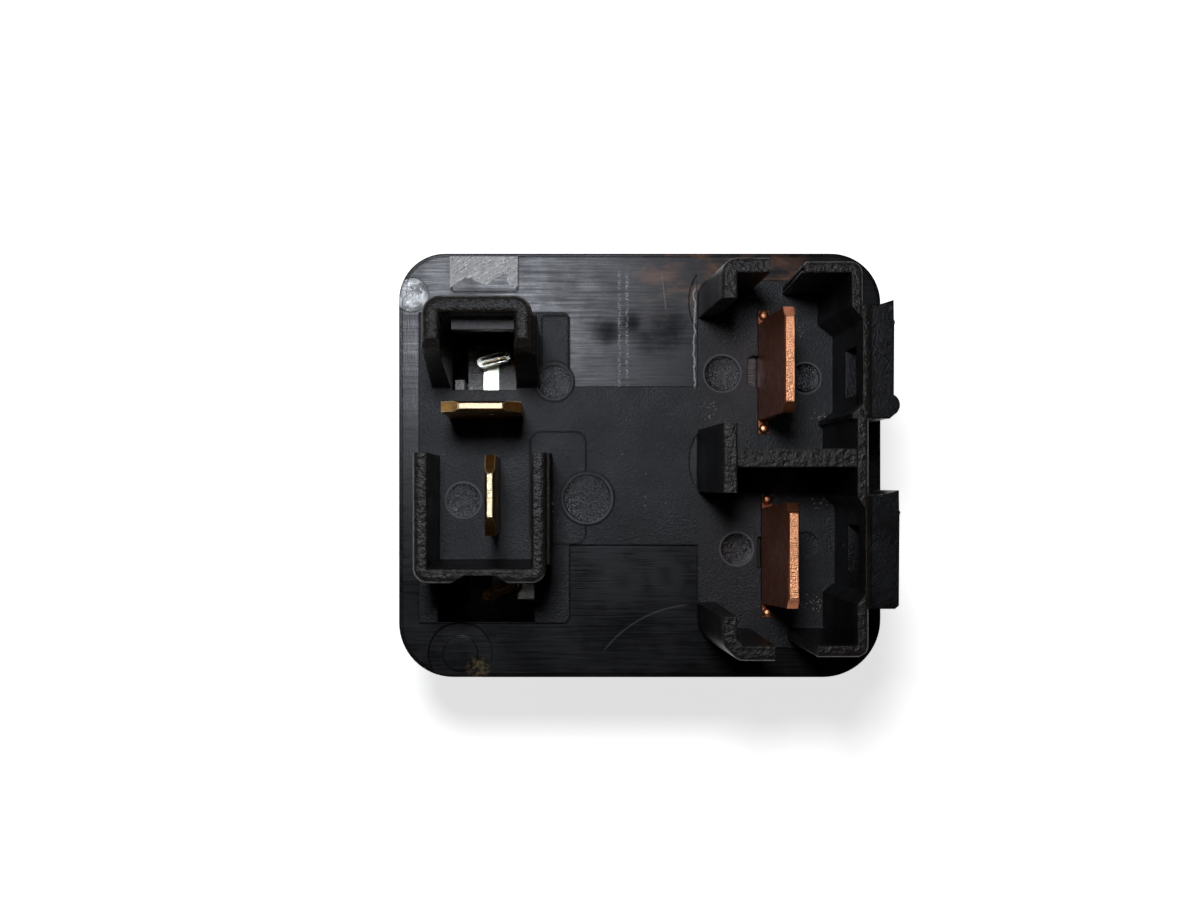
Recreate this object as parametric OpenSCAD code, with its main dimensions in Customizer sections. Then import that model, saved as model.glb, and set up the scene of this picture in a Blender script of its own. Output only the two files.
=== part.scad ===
// Sealed-case automotive relay with four terminals, lying on the flat end of
// its case with the blades pointing up.
// Units are millimetres. X runs across the case from the coil plug to the load
// cells, Y along the row of load blades, Z up along the blades.
// Z = 0 is the flat outer face of the cover.

/* [Case] */

// Width of the connector base, X
case_w = 41.6; // [40:0.1:46]
// Depth of the connector base, Y
case_d = 36.6; // [35.4:0.1:42]
// Height from the flat end of the cover to the lower face of the plate
case_h = 28; // [27:0.1:36]
// Corner radius beside the coil plug, upper
corner_tl = 4; // [3:0.1:6]
// Corner radius beside the load cells, upper
corner_tr = 4.3; // [3:0.1:6]
// Corner radius beside the coil plug, lower
corner_bl = 4.7; // [3:0.1:6]
// Corner radius beside the load cells, lower
corner_br = 5; // [3:0.1:6]
// Thickness of the base plate
plate_t = 2; // [1.6:0.1:2.6]
// Broken edge all round the top of the plate
plate_edge = 0.3; // [0.1:0.05:0.5]
// Wall of the cover
cover_wall = 1.2; // [0.9:0.1:1.6]
// Closed end of the cover
cover_floor = 1.4; // [1:0.1:2]
// How far the cover stands in from the edge of the plate
cover_inset = 0.25; // [0.1:0.05:0.5]
// Depth of the ring under the plate that plugs the cover
plug_h = 3; // [2.6:0.1:4]
// Wall of that ring
plug_wall = 1.4; // [1:0.1:2]
// Clearance between ring and cover
plug_gap = 0.08; // [0.04:0.01:0.15]
// Length of each snap barb
barb_w = 5; // [3.5:0.1:7]
// How far a barb stands out of the ring
barb_out = 0.9; // [0.6:0.05:1.1]
// Height of a barb
barb_h = 1.6; // [1.2:0.1:1.8]
// Distance of the barbs from the middle, X
barb_x = 9; // [6:0.1:12]
// Clearance round a barb in its window
barb_gap = 0.2; // [0.1:0.05:0.4]

/* [Platform] */

// Height of the fine-grained platform over the plate
pad_h = 0.3; // [0.15:0.05:0.5]
// Small radius on its corners
pad_r = 0.6; // [0.3:0.1:1]
// Margin beside the coil plug, X
pad_margin_left = 1.75; // [1.2:0.05:2.5]
// Margin beside the load cells, X
pad_margin_right = 1; // [0.6:0.05:1.5]
// Margin above the coil part, Y
pad_margin_top = 5.15; // [4.8:0.05:5.6]
// Margin below the coil part, Y
pad_margin_low = 4.72; // [4.2:0.02:4.78]
// Margin above the load part, Y
pad_load_top = 2.4; // [1.6:0.1:2.5]
// Margin below the load part, Y
pad_load_low = 2.6; // [1.6:0.1:2.8]
// Inner edge of the coil part, from the coil blades
pad_coil_in = 6.42; // [5:0.02:7]
// Inner edge of the load part, from the load blades
pad_load_in = 5.69; // [5.5:0.01:6]
// Upper edge of the bridge
pad_bridge_top = 6.77; // [5:0.01:9]
// Lower edge of the bridge
pad_bridge_low = 6.85; // [5:0.01:9]

/* [Coil plug] */

// Distance of the coil blades from the edge of the case, X
coil_edge = 8.3; // [8:0.1:10]
// Width of a coil blade
coil_blade_w = 6.3; // [4.8:0.1:6.6]
// Thickness of a coil blade
coil_blade_t = 0.8; // [0.5:0.05:1]
// Height of the coil blades over the plate
coil_blade_h = 13; // [10:0.1:14]
// Chamfer at the tip across the width
coil_tip = 1.5; // [0.8:0.1:2]
// Chamfer at the tip across the thickness
coil_tip_t = 0.2; // [0.05:0.05:0.3]
// Hole through each coil blade, radius
coil_hole_r = 0.85; // [0.6:0.05:1.2]
// Height of that hole over the plate
coil_hole_h = 7.6; // [5:0.1:9]
// Upper blade: its middle, Y
cross_y = 4.4; // [4.2:0.1:5]
// Upper blade: how far its middle lies from the lower blade, X
cross_dx = 0.7; // [0.3:0.1:1]
// Lower blade: its middle, Y
upright_y = -2.5; // [-3:0.1:-2]
// Wall of the upper shroud
arch_wall = 1.4; // [1:0.1:1.6]
// Height of the upper shroud over the plate
arch_h = 14; // [11:0.1:16]
// Inner width of the upper shroud
arch_in_w = 5.68; // [5.2:0.02:6]
// Middle of the upper shroud, from the lower blade, X
arch_dx = 0.96; // [0.8:0.02:1.2]
// Inner top of the upper shroud, Y
arch_top = 11.45; // [11:0.05:11.6]
// Foot of its legs on the plate, Y
arch_foot = 6.7; // [6.6:0.1:7.5]
// End of its legs at the rim, Y
arch_rim = 8.9; // [8:0.1:9.6]
// Lock bump: how far it stands in
lock_out = 0.9; // [0.5:0.1:1.2]
// Lock bump: height of its top over the plate
lock_top = 10.6; // [8:0.1:12]
// Lock bump: height of its upright face
lock_h = 1.6; // [1:0.1:2.5]
// Wall of the lower shroud
cup_wall = 1.15; // [0.9:0.05:1.4]
// Height of the lower shroud over the plate
cup_h = 13.3; // [11:0.1:15]
// Inner side beside the case edge, from the lower blade, X
cup_left = 4.76; // [4.5:0.02:4.9]
// Inner side beside the platform, from the lower blade, X
cup_right = 3.22; // [3:0.02:3.6]
// Inner bottom, Y
cup_low = -8.1; // [-8.12:0.02:-7]
// Open end, Y
cup_open = 0.8; // [0.4:0.1:1.6]
// Step on the foot of its right wall
cup_step = 0.45; // [0.2:0.05:0.6]
// How far that step ends below the rim
cup_step_down = 2; // [1:0.1:5]
// Depth of the notch in its bottom wall
cup_notch = 0.6; // [0.3:0.05:0.7]
// Length of that notch
cup_notch_w = 3.2; // [2.5:0.1:4]

/* [Floor openings] */

// Upper opening: lower edge, Y
port_up_y0 = 6.48; // [6.2:0.02:6.6]
// Upper opening: upper edge, Y
port_up_y1 = 11.45; // [11:0.05:11.45]
// Upper opening: width
port_up_w = 5.6; // [5:0.1:5.68]
// Lower opening: lower edge, Y
port_low_y0 = -13.5; // [-13.55:0.05:-13.3]
// Lower opening: left edge, from the lower blade, X
port_low_left = 4.9; // [4.5:0.1:5]
// Lower opening: right edge, from the lower blade, X
port_low_right = 3.4; // [3:0.1:4]

/* [Load cells] */

// Distance of the upper load blade from the edge of the case, X
load_edge = 10.2; // [9.9:0.1:10.4]
// How far the lower blade lies beside the upper one, X
load_dx = 0.3; // [0:0.1:0.4]
// Width of a load blade
load_blade_w = 8.2; // [6.3:0.1:8.4]
// Thickness of a load blade
load_blade_t = 0.9; // [0.8:0.05:1]
// Height of the load blades over the plate
load_blade_h = 13.3; // [10:0.1:14.5]
// Chamfer at the tip across the width
load_tip = 0.85; // [0.5:0.05:1.5]
// Width over the shoulders at the plate
load_shoulder = 10.6; // [9.6:0.1:11]
// Pocket beside the upper load blade: how far it reaches from the blade's middle, X
pocket_x = 1.35; // [1:0.05:1.5]
// That pocket: its lower end, from the blade's middle, Y
pocket_y0 = -1.3; // [-1.6:0.1:-1]
// That pocket: its upper end, from the blade's middle, Y
pocket_y1 = 1.4; // [1:0.1:1.7]
// That pocket: its depth
pocket_d = 1; // [0.5:0.1:1.2]
// Width of the legs of the load terminals inside the case
load_leg_w = 6.4; // [6:0.1:7]
// Middle of the upper load blade, Y
load_up_y = 8; // [7.9:0.1:8.3]
// Middle of the lower load blade, Y
load_low_y = -7.8; // [-8:0.1:-7.6]
// How far the lower load blade leans over at its tip, Y
load_lean = 0.65; // [0:0.05:0.8]
// Radius of the upset beads on the ends of the shoulders
bead_r = 0.42; // [0.3:0.02:0.44]
// Height of the cell walls over the plate
cell_h = 13.5; // [11:0.1:15]
// Wall of the left hooks
hook_wall = 1.2; // [0.9:0.05:1.3]
// Draft of the hooks' outer faces
hook_draft = 0.35; // [0.1:0.05:0.5]
// Wall of the right side
side_wall = 0.9; // [0.8:0.05:1]
// Inner face of the left hooks, from the upper blade, X
hook_in = 4.07; // [3.9:0.01:4.4]
// Inner face of the right side, from the upper blade, X
side_in = 4.65; // [4.5:0.05:4.7]
// Inner face of the top walls, Y
cell_top = 14.56; // [14.3:0.02:14.8]
// Inner face of the bottom walls, Y
cell_low = -14.0; // [-14.3:0.02:-13.7]
// Upper left hook: end of its top arm, from the upper blade, X
hook_top_end = 1.6; // [1.2:0.1:2]
// Upper left hook: end of its side arm, Y
hook_side_end = 12.65; // [12.2:0.05:13]
// Upper right hook: end of its top arm at the rim, from the upper blade, X
hook_right_top = 1.2; // [1:0.1:1.6]
// How far that end slants back towards its foot
hook_right_slant = 0.65; // [0.2:0.05:0.8]
// Lower right hook: end of its bottom arm, from the upper blade, X
hook_right_low = 2.1; // [1.6:0.1:2.4]
// How far the right side stands farther out below the upper latch block
side_step = 0.45; // [0.2:0.05:0.5]
// Lower left hook: start of its side arm, Y
hook_low_start = -11.8; // [-12.2:0.1:-11.4]
// Lower left hook: length of its slanted corner
hook_low_cut = 1.1; // [0.8:0.1:1.4]
// Middle hook: upper end, Y
mid_top = 3.05; // [2.6:0.05:3.3]
// Middle hook: lower end, Y
mid_low = -2.3; // [-2.6:0.1:-1.8]
// Divider: its middle, Y
divider_y = 0.4; // [0:0.1:0.8]
// Divider: thickness
divider_t = 1.4; // [1:0.1:1.8]

/* [Latch blocks] */

// Upper block: upper end, Y
latch_up_y1 = 12.2; // [12:0.1:12.5]
// Upper block: lower end, Y
latch_up_y0 = 3.4; // [3.2:0.1:3.8]
// Lower block: upper end, Y
latch_low_y1 = -2.4; // [-2.8:0.1:-2.2]
// Lower block: lower end, Y
latch_low_y0 = -11.2; // [-11.6:0.1:-11]
// Outer face of the upper block, from the upper blade, X
latch_out = 7.9; // [7.75:0.05:8.2]
// How far the lower block stands farther out
latch_step = 0.4; // [0.2:0.05:0.5]
// Depth of the bays behind the inner face of the side wall
bay_depth = 1.3; // [1:0.05:1.4]
// How far the bar over a window hangs back over its bay
bar_in = 0.4; // [0.1:0.05:0.5]
// End walls of the bay
bay_end = 1.15; // [0.9:0.05:1.4]
// Depth of the latch window in the bay
window_depth = 1.25; // [0.7:0.05:1.3]
// Height of the window's sill over the plate
window_sill = 5.4; // [3:0.1:6]
// Height of the bar over the window
window_bar = 2.4; // [1.5:0.1:3]
// Length of the window
window_w = 3.9; // [3:0.1:4.5]
// Upper window: its middle, Y
window_up_y = 7.4; // [7:0.1:7.8]
// Lower window: its middle, Y
window_low_y = -6.9; // [-7.2:0.1:-6.6]

/* [Coil and yoke] */

// Middle of the coil, from the lower coil blade, X
coil_dx = 3.3; // [3:0.1:4]
// Middle of the coil below the plate
coil_depth = 14.5; // [14:0.1:15.5]
// Radius of the winding
winding_r = 6.4; // [5.6:0.1:6.6]
// Radius of the core
core_r = 3; // [2.5:0.1:3.4]
// Wall of the bobbin tube
bobbin_wall = 0.7; // [0.5:0.05:1]
// Clearance between core and bobbin
core_gap = 0.05; // [0.03:0.01:0.1]
// Half width of the bobbin flanges
flange_half = 7.1; // [6.9:0.1:7.2]
// Thickness of the bobbin flanges
flange_t = 1.2; // [0.9:0.1:1.3]
// Outer face of the rear flange, Y
flange_rear = -10.4; // [-10.6:0.1:-10.2]
// Outer face of the front flange, Y
flange_front = 7.5; // [7.3:0.1:7.6]
// Thickness of the yoke
yoke_t = 1.8; // [1.4:0.1:2]
// Width of the yoke
yoke_w = 12; // [10:0.1:13]
// Outer radius of the yoke's bend
yoke_bend = 1.6; // [0.6:0.1:1.7]
// Gap between flange and yoke arm
yoke_gap = 0.15; // [0.05:0.05:0.25]
// Radius of the pole plate
pole_r = 4.5; // [4:0.1:5]
// Thickness of the pole plate
pole_t = 1; // [0.8:0.1:1.2]
// Radius of the riveted tail of the core
core_tail_r = 2; // [1.6:0.1:2.2]

/* [Armature and contacts] */

// Angle that the armature swings to close
swing = 4.5; // [3:0.1:5]
// Thickness of the armature
armature_t = 1.5; // [1.2:0.1:1.8]
// Width of the armature
armature_w = 11; // [9:0.1:12]
// Clearance at the pole and at the yoke
pole_gap = 0.03; // [0.02:0.01:0.06]
// Length of the contact arm back from the hinge edge
arm_len = 10.5; // [9:0.1:11]
// Thickness of the contact spring
leaf_t = 0.4; // [0.3:0.05:0.5]
// Width of the contact spring
leaf_w = 6; // [5:0.1:7]
// Overlap of contact spring and arm
leaf_lap = 6.4; // [5.6:0.1:7]
// Contact: distance back from the hinge edge
contact_back = 14.6; // [14:0.1:15.4]
// Radius of the moving contact
contact_r = 2.1; // [1.6:0.1:2.3]
// Height of the moving contact
contact_h = 1.1; // [0.8:0.1:1.3]
// Radius of the fixed contact
anvil_r = 2.3; // [1.8:0.1:2.5]
// Height of the fixed contact
anvil_h = 1.1; // [0.8:0.1:1.3]
// Clearance of the closed contacts
contact_gap = 0.02; // [0.02:0.01:0.05]
// Radius of the rivets
rivet_r = 0.6; // [0.4:0.05:0.7]
// Radius of the rivet heads
rivet_head_r = 1.05; // [0.8:0.05:1.2]
// Height of the rivet heads
rivet_head_h = 0.5; // [0.3:0.05:0.6]
// Half the distance between the two rivets
rivet_half = 1.8; // [1.5:0.1:2]
// Distance of the rivets from the end of the contact spring's lap
rivet_in = 1.6; // [1.3:0.1:2]
// Radius of the copper braid
braid_r = 0.95; // [0.7:0.05:1.1]
// Bend radius of the braid
braid_bend = 2.4; // [2:0.1:3]
// Radius of the return spring, to the middle of its wire
return_r = 1.1; // [0.9:0.05:1.3]
// Radius of its wire
return_wire = 0.17; // [0.12:0.01:0.22]
// Turns of the return spring
return_turns = 14; // [8:1:18]

/* [Small inner parts] */

// Width of the wire tabs
tab_w = 2.1; // [1.6:0.1:2.4]
// Thickness of the wire tabs
tab_t = 0.6; // [0.4:0.05:0.7]
// Turn of the upper wire tab
tab_turn_up = 15; // [10:1:20]
// Turn of the lower wire tab
tab_turn_low = 22; // [15:1:25]
// How far the wire tabs stand beside the middle of the blades, X
tab_aside = 0.2; // [0:0.05:0.3]
// Wire tabs: how far their tops stand below the plate
tab_down = 0.5; // [0.4:0.1:1]
// Upper wire tab: distance before the front flange
tab_out = 1.9; // [1.6:0.1:2.2]
// Lower wire tab: distance behind the rear flange
tab_back = 0.6; // [0.5:0.1:1]
// Height of the bobbin shelves over the flanges
shelf_h = 1.4; // [1.2:0.1:1.6]
// How far the upper shelf stands out before the front flange
shelf_out = 3.1; // [2.8:0.1:3.4]
// How far the lower shelf stands out behind the rear flange
shelf_back = 2; // [1.7:0.1:2.3]
// Shelves: their left edge, from the lower coil blade, X
shelf_left = 2.6; // [2.2:0.1:2.8]
// Shelves: their right edge, from the lower coil blade, X
shelf_right = 1.8; // [1.6:0.1:2.2]
// Width of the lugs that stand against the plate
lug_w = 0.8; // [0.6:0.1:0.9]
// Left lugs: their left edge, from the lower coil blade, X
lug_left = 3.55; // [3.45:0.05:3.6]
// Right lugs: their left edge, from the lower coil blade, X
lug_right = 2.6; // [2.5:0.1:2.7]
// Where the winding's ends leave it, from the lower coil blade, X
lead_x = 2.2; // [2:0.1:2.4]
// Height of the run of the load terminals under the plate, from the plate
run_down = 1.4; // [1.2:0.1:1.6]
// Distance of the return spring from the contact spring
return_out = 1.6; // [1.5:0.1:1.8]
// Ears of the return spring: distance below the pieces that carry them
ear_down = 1.2; // [1:0.1:1.4]
// Length of each hook of the return spring
spring_hook = 1.4; // [1.2:0.1:1.6]
// Clearance of the blades in the plate
blade_gap = 0.02; // [0.01:0.01:0.05]
// Radius of the coil wire's ends
lead_r = 0.14; // [0.1:0.02:0.2]
// Radius of the resistor
resistor_r = 1.2; // [0.9:0.1:1.3]
// Length of the resistor
resistor_len = 6.2; // [5:0.1:7]
// Radius of the resistor's wires
resistor_wire = 0.3; // [0.2:0.02:0.35]

/* [Hidden] */

$fn = 48;
e = 0.01;
half_w = case_w / 2;
half_d = case_d / 2;
z_top = case_h;
z_pad = z_top + pad_h;
z_under = z_top - plate_t;
// places of the blades
coil_x = coil_edge - half_w;
cross_x = coil_x - cross_dx;
load_x = half_w - load_edge;
low_x = load_x + load_dx;
// edges of the platform
pad_x0 = pad_margin_left - half_w;
pad_x1 = coil_x + pad_coil_in;
pad_x2 = load_x - pad_load_in;
pad_x3 = half_w - pad_margin_right;
// upper shroud
arch_x0 = coil_x - arch_dx - arch_in_w / 2;
arch_x1 = coil_x - arch_dx + arch_in_w / 2;
// lower shroud
cup_x0 = coil_x - cup_left;
cup_x1 = coil_x + cup_right;
port_low_y1 = cup_low - cup_wall;
// load cells
hook_x = load_x - hook_in;
side_x = load_x + side_in;
low_side_x = side_x + side_step;
latch_x = load_x + latch_out;
bay_x = side_x + bay_depth;
// coil
core_x = coil_x + coil_dx;
core_z = z_top - coil_depth;
flange_z1 = core_z + flange_half;
shelf_z = flange_z1 + shelf_h;
strip_t = coil_blade_t;
tab_top = z_under - tab_down;
tab_up_y = flange_front + tab_out;
tab_low_y = flange_rear - tab_back;
// yoke: its long arm stands right of the coil, its short arm behind it
arm_x0 = core_x + flange_half + yoke_gap;
arm_x1 = arm_x0 + yoke_t;
rear_y1 = flange_rear;
rear_y0 = rear_y1 - yoke_t;
pole_y = flange_front + 0.1 + pole_t;
// hinge edge of the armature
hinge_x = arm_x1;
hinge_y = pole_y;
arm_in = hinge_x + pole_gap;
leaf_x = arm_in + armature_t;
contact_y = hinge_y - contact_back;
face_x = leaf_x + leaf_t + contact_h;
contact_flat = 0.55 * contact_r;
// where the edge of the moving contact's flat stands when closed
anvil_x = hinge_x + (face_x - hinge_x) * cos(swing)
    + (contact_back + contact_flat) * sin(swing) + contact_gap;
leg_x = anvil_x + anvil_h;
run_z = z_under - run_down;
ear_z = core_z - armature_w / 2;

// ---- small helpers ----

// rectangle with four corner radii, as one outline
module round_box(x0, x1, y0, y1, tl, tr, bl, br) {
    polygon([
        [x0, y0 + bl], [x0 + bl, y0], [x1 - br, y0], [x1, y0 + br],
        [x1, y1 - tr], [x1 - tr, y1], [x0 + tl, y1], [x0, y1 - tl]
    ]);
    translate([x0 + tl, y1 - tl]) circle(tl);
    translate([x1 - tr, y1 - tr]) circle(tr);
    translate([x0 + bl, y0 + bl]) circle(bl);
    translate([x1 - br, y0 + br]) circle(br);
}

// the case outline, set in by a distance
module case_outline(inset) {
    round_box(
        inset - half_w, half_w - inset, inset - half_d, half_d - inset,
        corner_tl - inset, corner_tr - inset, corner_bl - inset, corner_br - inset
    );
}

// box between two corners
module block(x0, x1, y0, y1, z0, z1) {
    translate([x0, y0, z0]) cube([x1 - x0, y1 - y0, z1 - z0]);
}

// cross-section of a moulded wall: a little draft outside and a rim rounded by
// wear, more on the outside than on the inside
module wall_section(t, h, draft, edge, inner) {
    polygon(concat(
        [[0, 0], [t + draft, 0]],
        [for (a = [0 : 22.5 : 90]) [t - edge * (1 - cos(a)), h - edge * (1 - sin(a))]],
        [for (a = [90 : 30 : 180]) [inner * (1 + cos(a)), h - inner * (1 - sin(a))]]
    ));
}

function heading(a, b) = atan2(b[1] - a[1], b[0] - a[0]);

// a wall swept along its inner face, clockwise round the space it guards
module wall_path(pts, t, h, draft, edge, inner) {
    for (i = [0 : len(pts) - 2])
        translate([pts[i][0], pts[i][1], 0])
            rotate([0, 0, heading(pts[i], pts[i + 1])])
                rotate([90, 0, 90])
                    linear_extrude(norm(pts[i + 1] - pts[i]))
                        wall_section(t, h, draft, edge, inner);
    for (i = [1 : len(pts) - 2])
        translate([pts[i][0], pts[i][1], 0])
            rotate([0, 0, heading(pts[i], pts[i + 1]) + 90])
                rotate_extrude(angle = (heading(pts[i - 1], pts[i])
                        - heading(pts[i], pts[i + 1]) + 360) % 360)
                    wall_section(t, h, draft, edge, inner);
}

// the same, standing on the plate
module plate_wall(pts, t, h, draft = 0.12, edge = 0.35, inner = 0.15) {
    translate([0, 0, z_top - e]) wall_path(pts, t, h + e, draft, edge, inner);
}

function unit(v) = v / norm(v);

// direction of a path at its point i
function along(pts, i) = unit(
    pts[min(i + 1, len(pts) - 1)] - pts[max(i - 1, 0)]
);

// part of v that stands square on direction d
function square_to(v, d) = unit(v - (v * d) * d);

// round wire along several points: each ring is carried on from the last, so
// the wire doesn't twist
module wire_path(pts, r, sides = 8) {
    n = len(pts);
    norms = [
        for (i = 0, v = square_to([0.21, 0.33, 1], along(pts, 0)); i < n;
            i = i + 1, v = square_to(v, along(pts, min(i, n - 1)))) v
    ];
    rings = [
        for (i = [0 : n - 1])
            for (k = [0 : sides - 1])
                pts[i]
                    + r * cos(360 * k / sides) * norms[i]
                    + r * sin(360 * k / sides) * cross(along(pts, i), norms[i])
    ];
    faces = concat(
        [[for (k = [0 : sides - 1]) k]],
        [[for (k = [sides - 1 : -1 : 0]) (n - 1) * sides + k]],
        [
            for (i = [0 : n - 2])
                for (k = [0 : sides - 1])
                    [
                        i * sides + k, (i + 1) * sides + k,
                        (i + 1) * sides + (k + 1) % sides, i * sides + (k + 1) % sides
                    ]
        ]
    );
    polyhedron(points = rings, faces = faces, convexity = 10);
}

// flat blade standing up from z0, its width along X; lean carries its tip along X
module blade(w, t, z0, z1, tip, tip_t, lean = 0) {
    intersection() {
        translate([0, t / 2, 0])
            rotate([90, 0, 0])
                linear_extrude(t)
                    polygon([
                        [-w / 2, z0], [w / 2, z0], [w / 2, z_pad],
                        [w / 2 + lean, z1 - tip], [w / 2 + lean - tip, z1],
                        [tip - w / 2 + lean, z1], [-w / 2 + lean, z1 - tip],
                        [-w / 2, z_pad]
                    ]);
        translate([-w / 2 - 1, 0, 0])
            rotate([90, 0, 90])
                linear_extrude(w + 2)
                    polygon([
                        [-t / 2, z0], [t / 2, z0], [t / 2, z1 - 2.4 * tip_t],
                        [t / 2 - tip_t, z1], [tip_t - t / 2, z1],
                        [-t / 2, z1 - 2.4 * tip_t]
                    ]);
    }
}

// ---- moulded base with its plug walls ----

// raised platform in the shape of an H
module platform() {
    translate([0, 0, z_top - e])
        linear_extrude(pad_h + e) {
            round_box(
                pad_x0, pad_x1, pad_margin_low - half_d, half_d - pad_margin_top,
                0.1, pad_r, 0.1, pad_r
            );
            translate([pad_x1 - 2, -pad_bridge_low])
                square([pad_x2 - pad_x1 + 4, pad_bridge_low + pad_bridge_top]);
            polygon([
                [pad_x2, half_d - pad_load_top - 1.2],
                [pad_x2 + 1.2, half_d - pad_load_top],
                [pad_x3 - 2.6, half_d - pad_load_top],
                [pad_x3, half_d - pad_load_top - 2.6],
                [pad_x3, pad_load_low - half_d + 2.6],
                [pad_x3 - 2.6, pad_load_low - half_d],
                [pad_x2 + 3.6, pad_load_low - half_d],
                [pad_x2, pad_load_low - half_d + 3.4]
            ]);
        }
}

// plate with a broken upper edge
module plate() {
    translate([0, 0, z_under]) linear_extrude(plate_t - plate_edge) case_outline(0);
    translate([0, 0, z_top - plate_edge - e])
        linear_extrude(0.55 * plate_edge + e) case_outline(0.3 * plate_edge);
    translate([0, 0, z_top - 0.45 * plate_edge - e])
        linear_extrude(0.45 * plate_edge + e) case_outline(plate_edge);
}

// arch-shaped shroud over the upper coil blade
module arch() {
    difference() {
        union() {
            plate_wall([
                [arch_x0, arch_foot], [arch_x0, arch_top],
                [arch_x1, arch_top], [arch_x1, arch_foot]
            ], arch_wall, arch_h, 0.2, 0.6, 0.4);
            // the leg beside the platform is thicker at its foot
            plate_wall([
                [arch_x1, arch_top], [arch_x1, arch_foot]
            ], arch_wall + 0.35, arch_h - 1.2, 0.2, 0.6);
        }
        // the legs run out in a slope towards the foot
        translate([arch_x0 - arch_wall - 1, 0, z_top])
            rotate([90, 0, 90])
                linear_extrude(arch_in_w + 2 * arch_wall + 3)
                    polygon([
                        [arch_foot - 2, -1], [arch_foot, pad_h],
                        [arch_rim - 0.75, arch_h - 2.4],
                        [arch_rim - 0.42, arch_h - 1.1],
                        [arch_rim - 0.05, arch_h - 0.45],
                        [arch_rim + 0.6, arch_h - 0.05],
                        [arch_rim + 1.2, arch_h + 1],
                        [arch_foot - 2, arch_h + 1]
                    ]);
    }
    // lock bump on the top wall, with a ramp above and a square catch below
    translate([arch_x0 + 0.7, arch_top, z_top + lock_top])
        rotate([90, 0, 90])
            linear_extrude(arch_in_w - 0.7 + e)
                polygon([
                    [e, 0.8], [0, 0.5], [-lock_out, 0],
                    [-lock_out, -lock_h], [0, -lock_h], [e, -lock_h]
                ]);
}

// cup-shaped shroud round the lower coil blade
module cup() {
    difference() {
        union() {
            plate_wall([
                [cup_x1, cup_open], [cup_x1, cup_low],
                [cup_x0, cup_low], [cup_x0, cup_open]
            ], cup_wall, cup_h, 0.1, 0.45, 0.22);
            plate_wall([
                [cup_x1, cup_open], [cup_x1, cup_low + 0.2]
            ], cup_wall + cup_step, cup_h - cup_step_down, 0.1, 0.3);
        }
        // shallow notch in the outer face of the bottom wall
        translate([coil_x - 0.8, port_low_y1, z_pad])
            linear_extrude(cup_h + 1)
                polygon([
                    [-cup_notch_w / 2 - 0.7, -1], [-cup_notch_w / 2 - 0.7, -0.05],
                    [-cup_notch_w / 2 + 0.4, cup_notch],
                    [cup_notch_w / 2 - 0.4, cup_notch],
                    [cup_notch_w / 2 + 0.7, -0.05], [cup_notch_w / 2 + 0.7, -1]
                ]);
    }
}

// latch block outside the side wall, before its bay is cut
module latch_block(side, out, y0, y1) {
    translate([0, 0, z_top - e])
        linear_extrude(cell_h + e - 0.1)
            polygon([
                [side + 0.1, y0], [out - 0.3, y0], [out, y0 + 0.25],
                [out + 0.05, y1 - 1.6], [out + 0.12, y1 - 1.4], [out + 0.02, y1 - 1.2],
                [out, y1 + 0.3], [out - 1.1, y1 - 0.05], [side + 0.1, y1 - 0.1]
            ]);
}

// outline of a bay, down to a depth behind the inner face of the wall
module bay_outline(side, face, y0, y1) {
    polygon([
        [side - 1, y0 + 0.3], [side, y0 + 0.3], [face, y0 + bay_end],
        [face, y1 - bay_end], [side, y1 - 0.15], [side - 1, y1 - 0.15]
    ]);
}

// bay and latch window cut into a block; a bar hangs back over the window
module latch_cut(side, face, y0, y1, window_y) {
    translate([0, 0, z_pad])
        linear_extrude(cell_h - pad_h - window_bar)
            bay_outline(side, face, y0, y1);
    translate([0, 0, z_pad])
        linear_extrude(cell_h + 1)
            bay_outline(side, face - bar_in, y0, y1);
    block(
        face - 0.5, face + window_depth,
        window_y - window_w / 2, window_y + window_w / 2,
        z_top + window_sill, z_top + cell_h - window_bar
    );
}

// slanted end of the upper right hook: what is cut away below its rim
module hook_slant(back) {
    translate([load_x, cell_top + 3, z_top])
        rotate([90, 0, 0])
            linear_extrude(6)
                polygon([
                    [hook_right_top - 2, pad_h], [hook_right_top + hook_right_slant - back, pad_h],
                    [hook_right_top - back, cell_h], [hook_right_top - 2, cell_h]
                ]);
}

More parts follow.
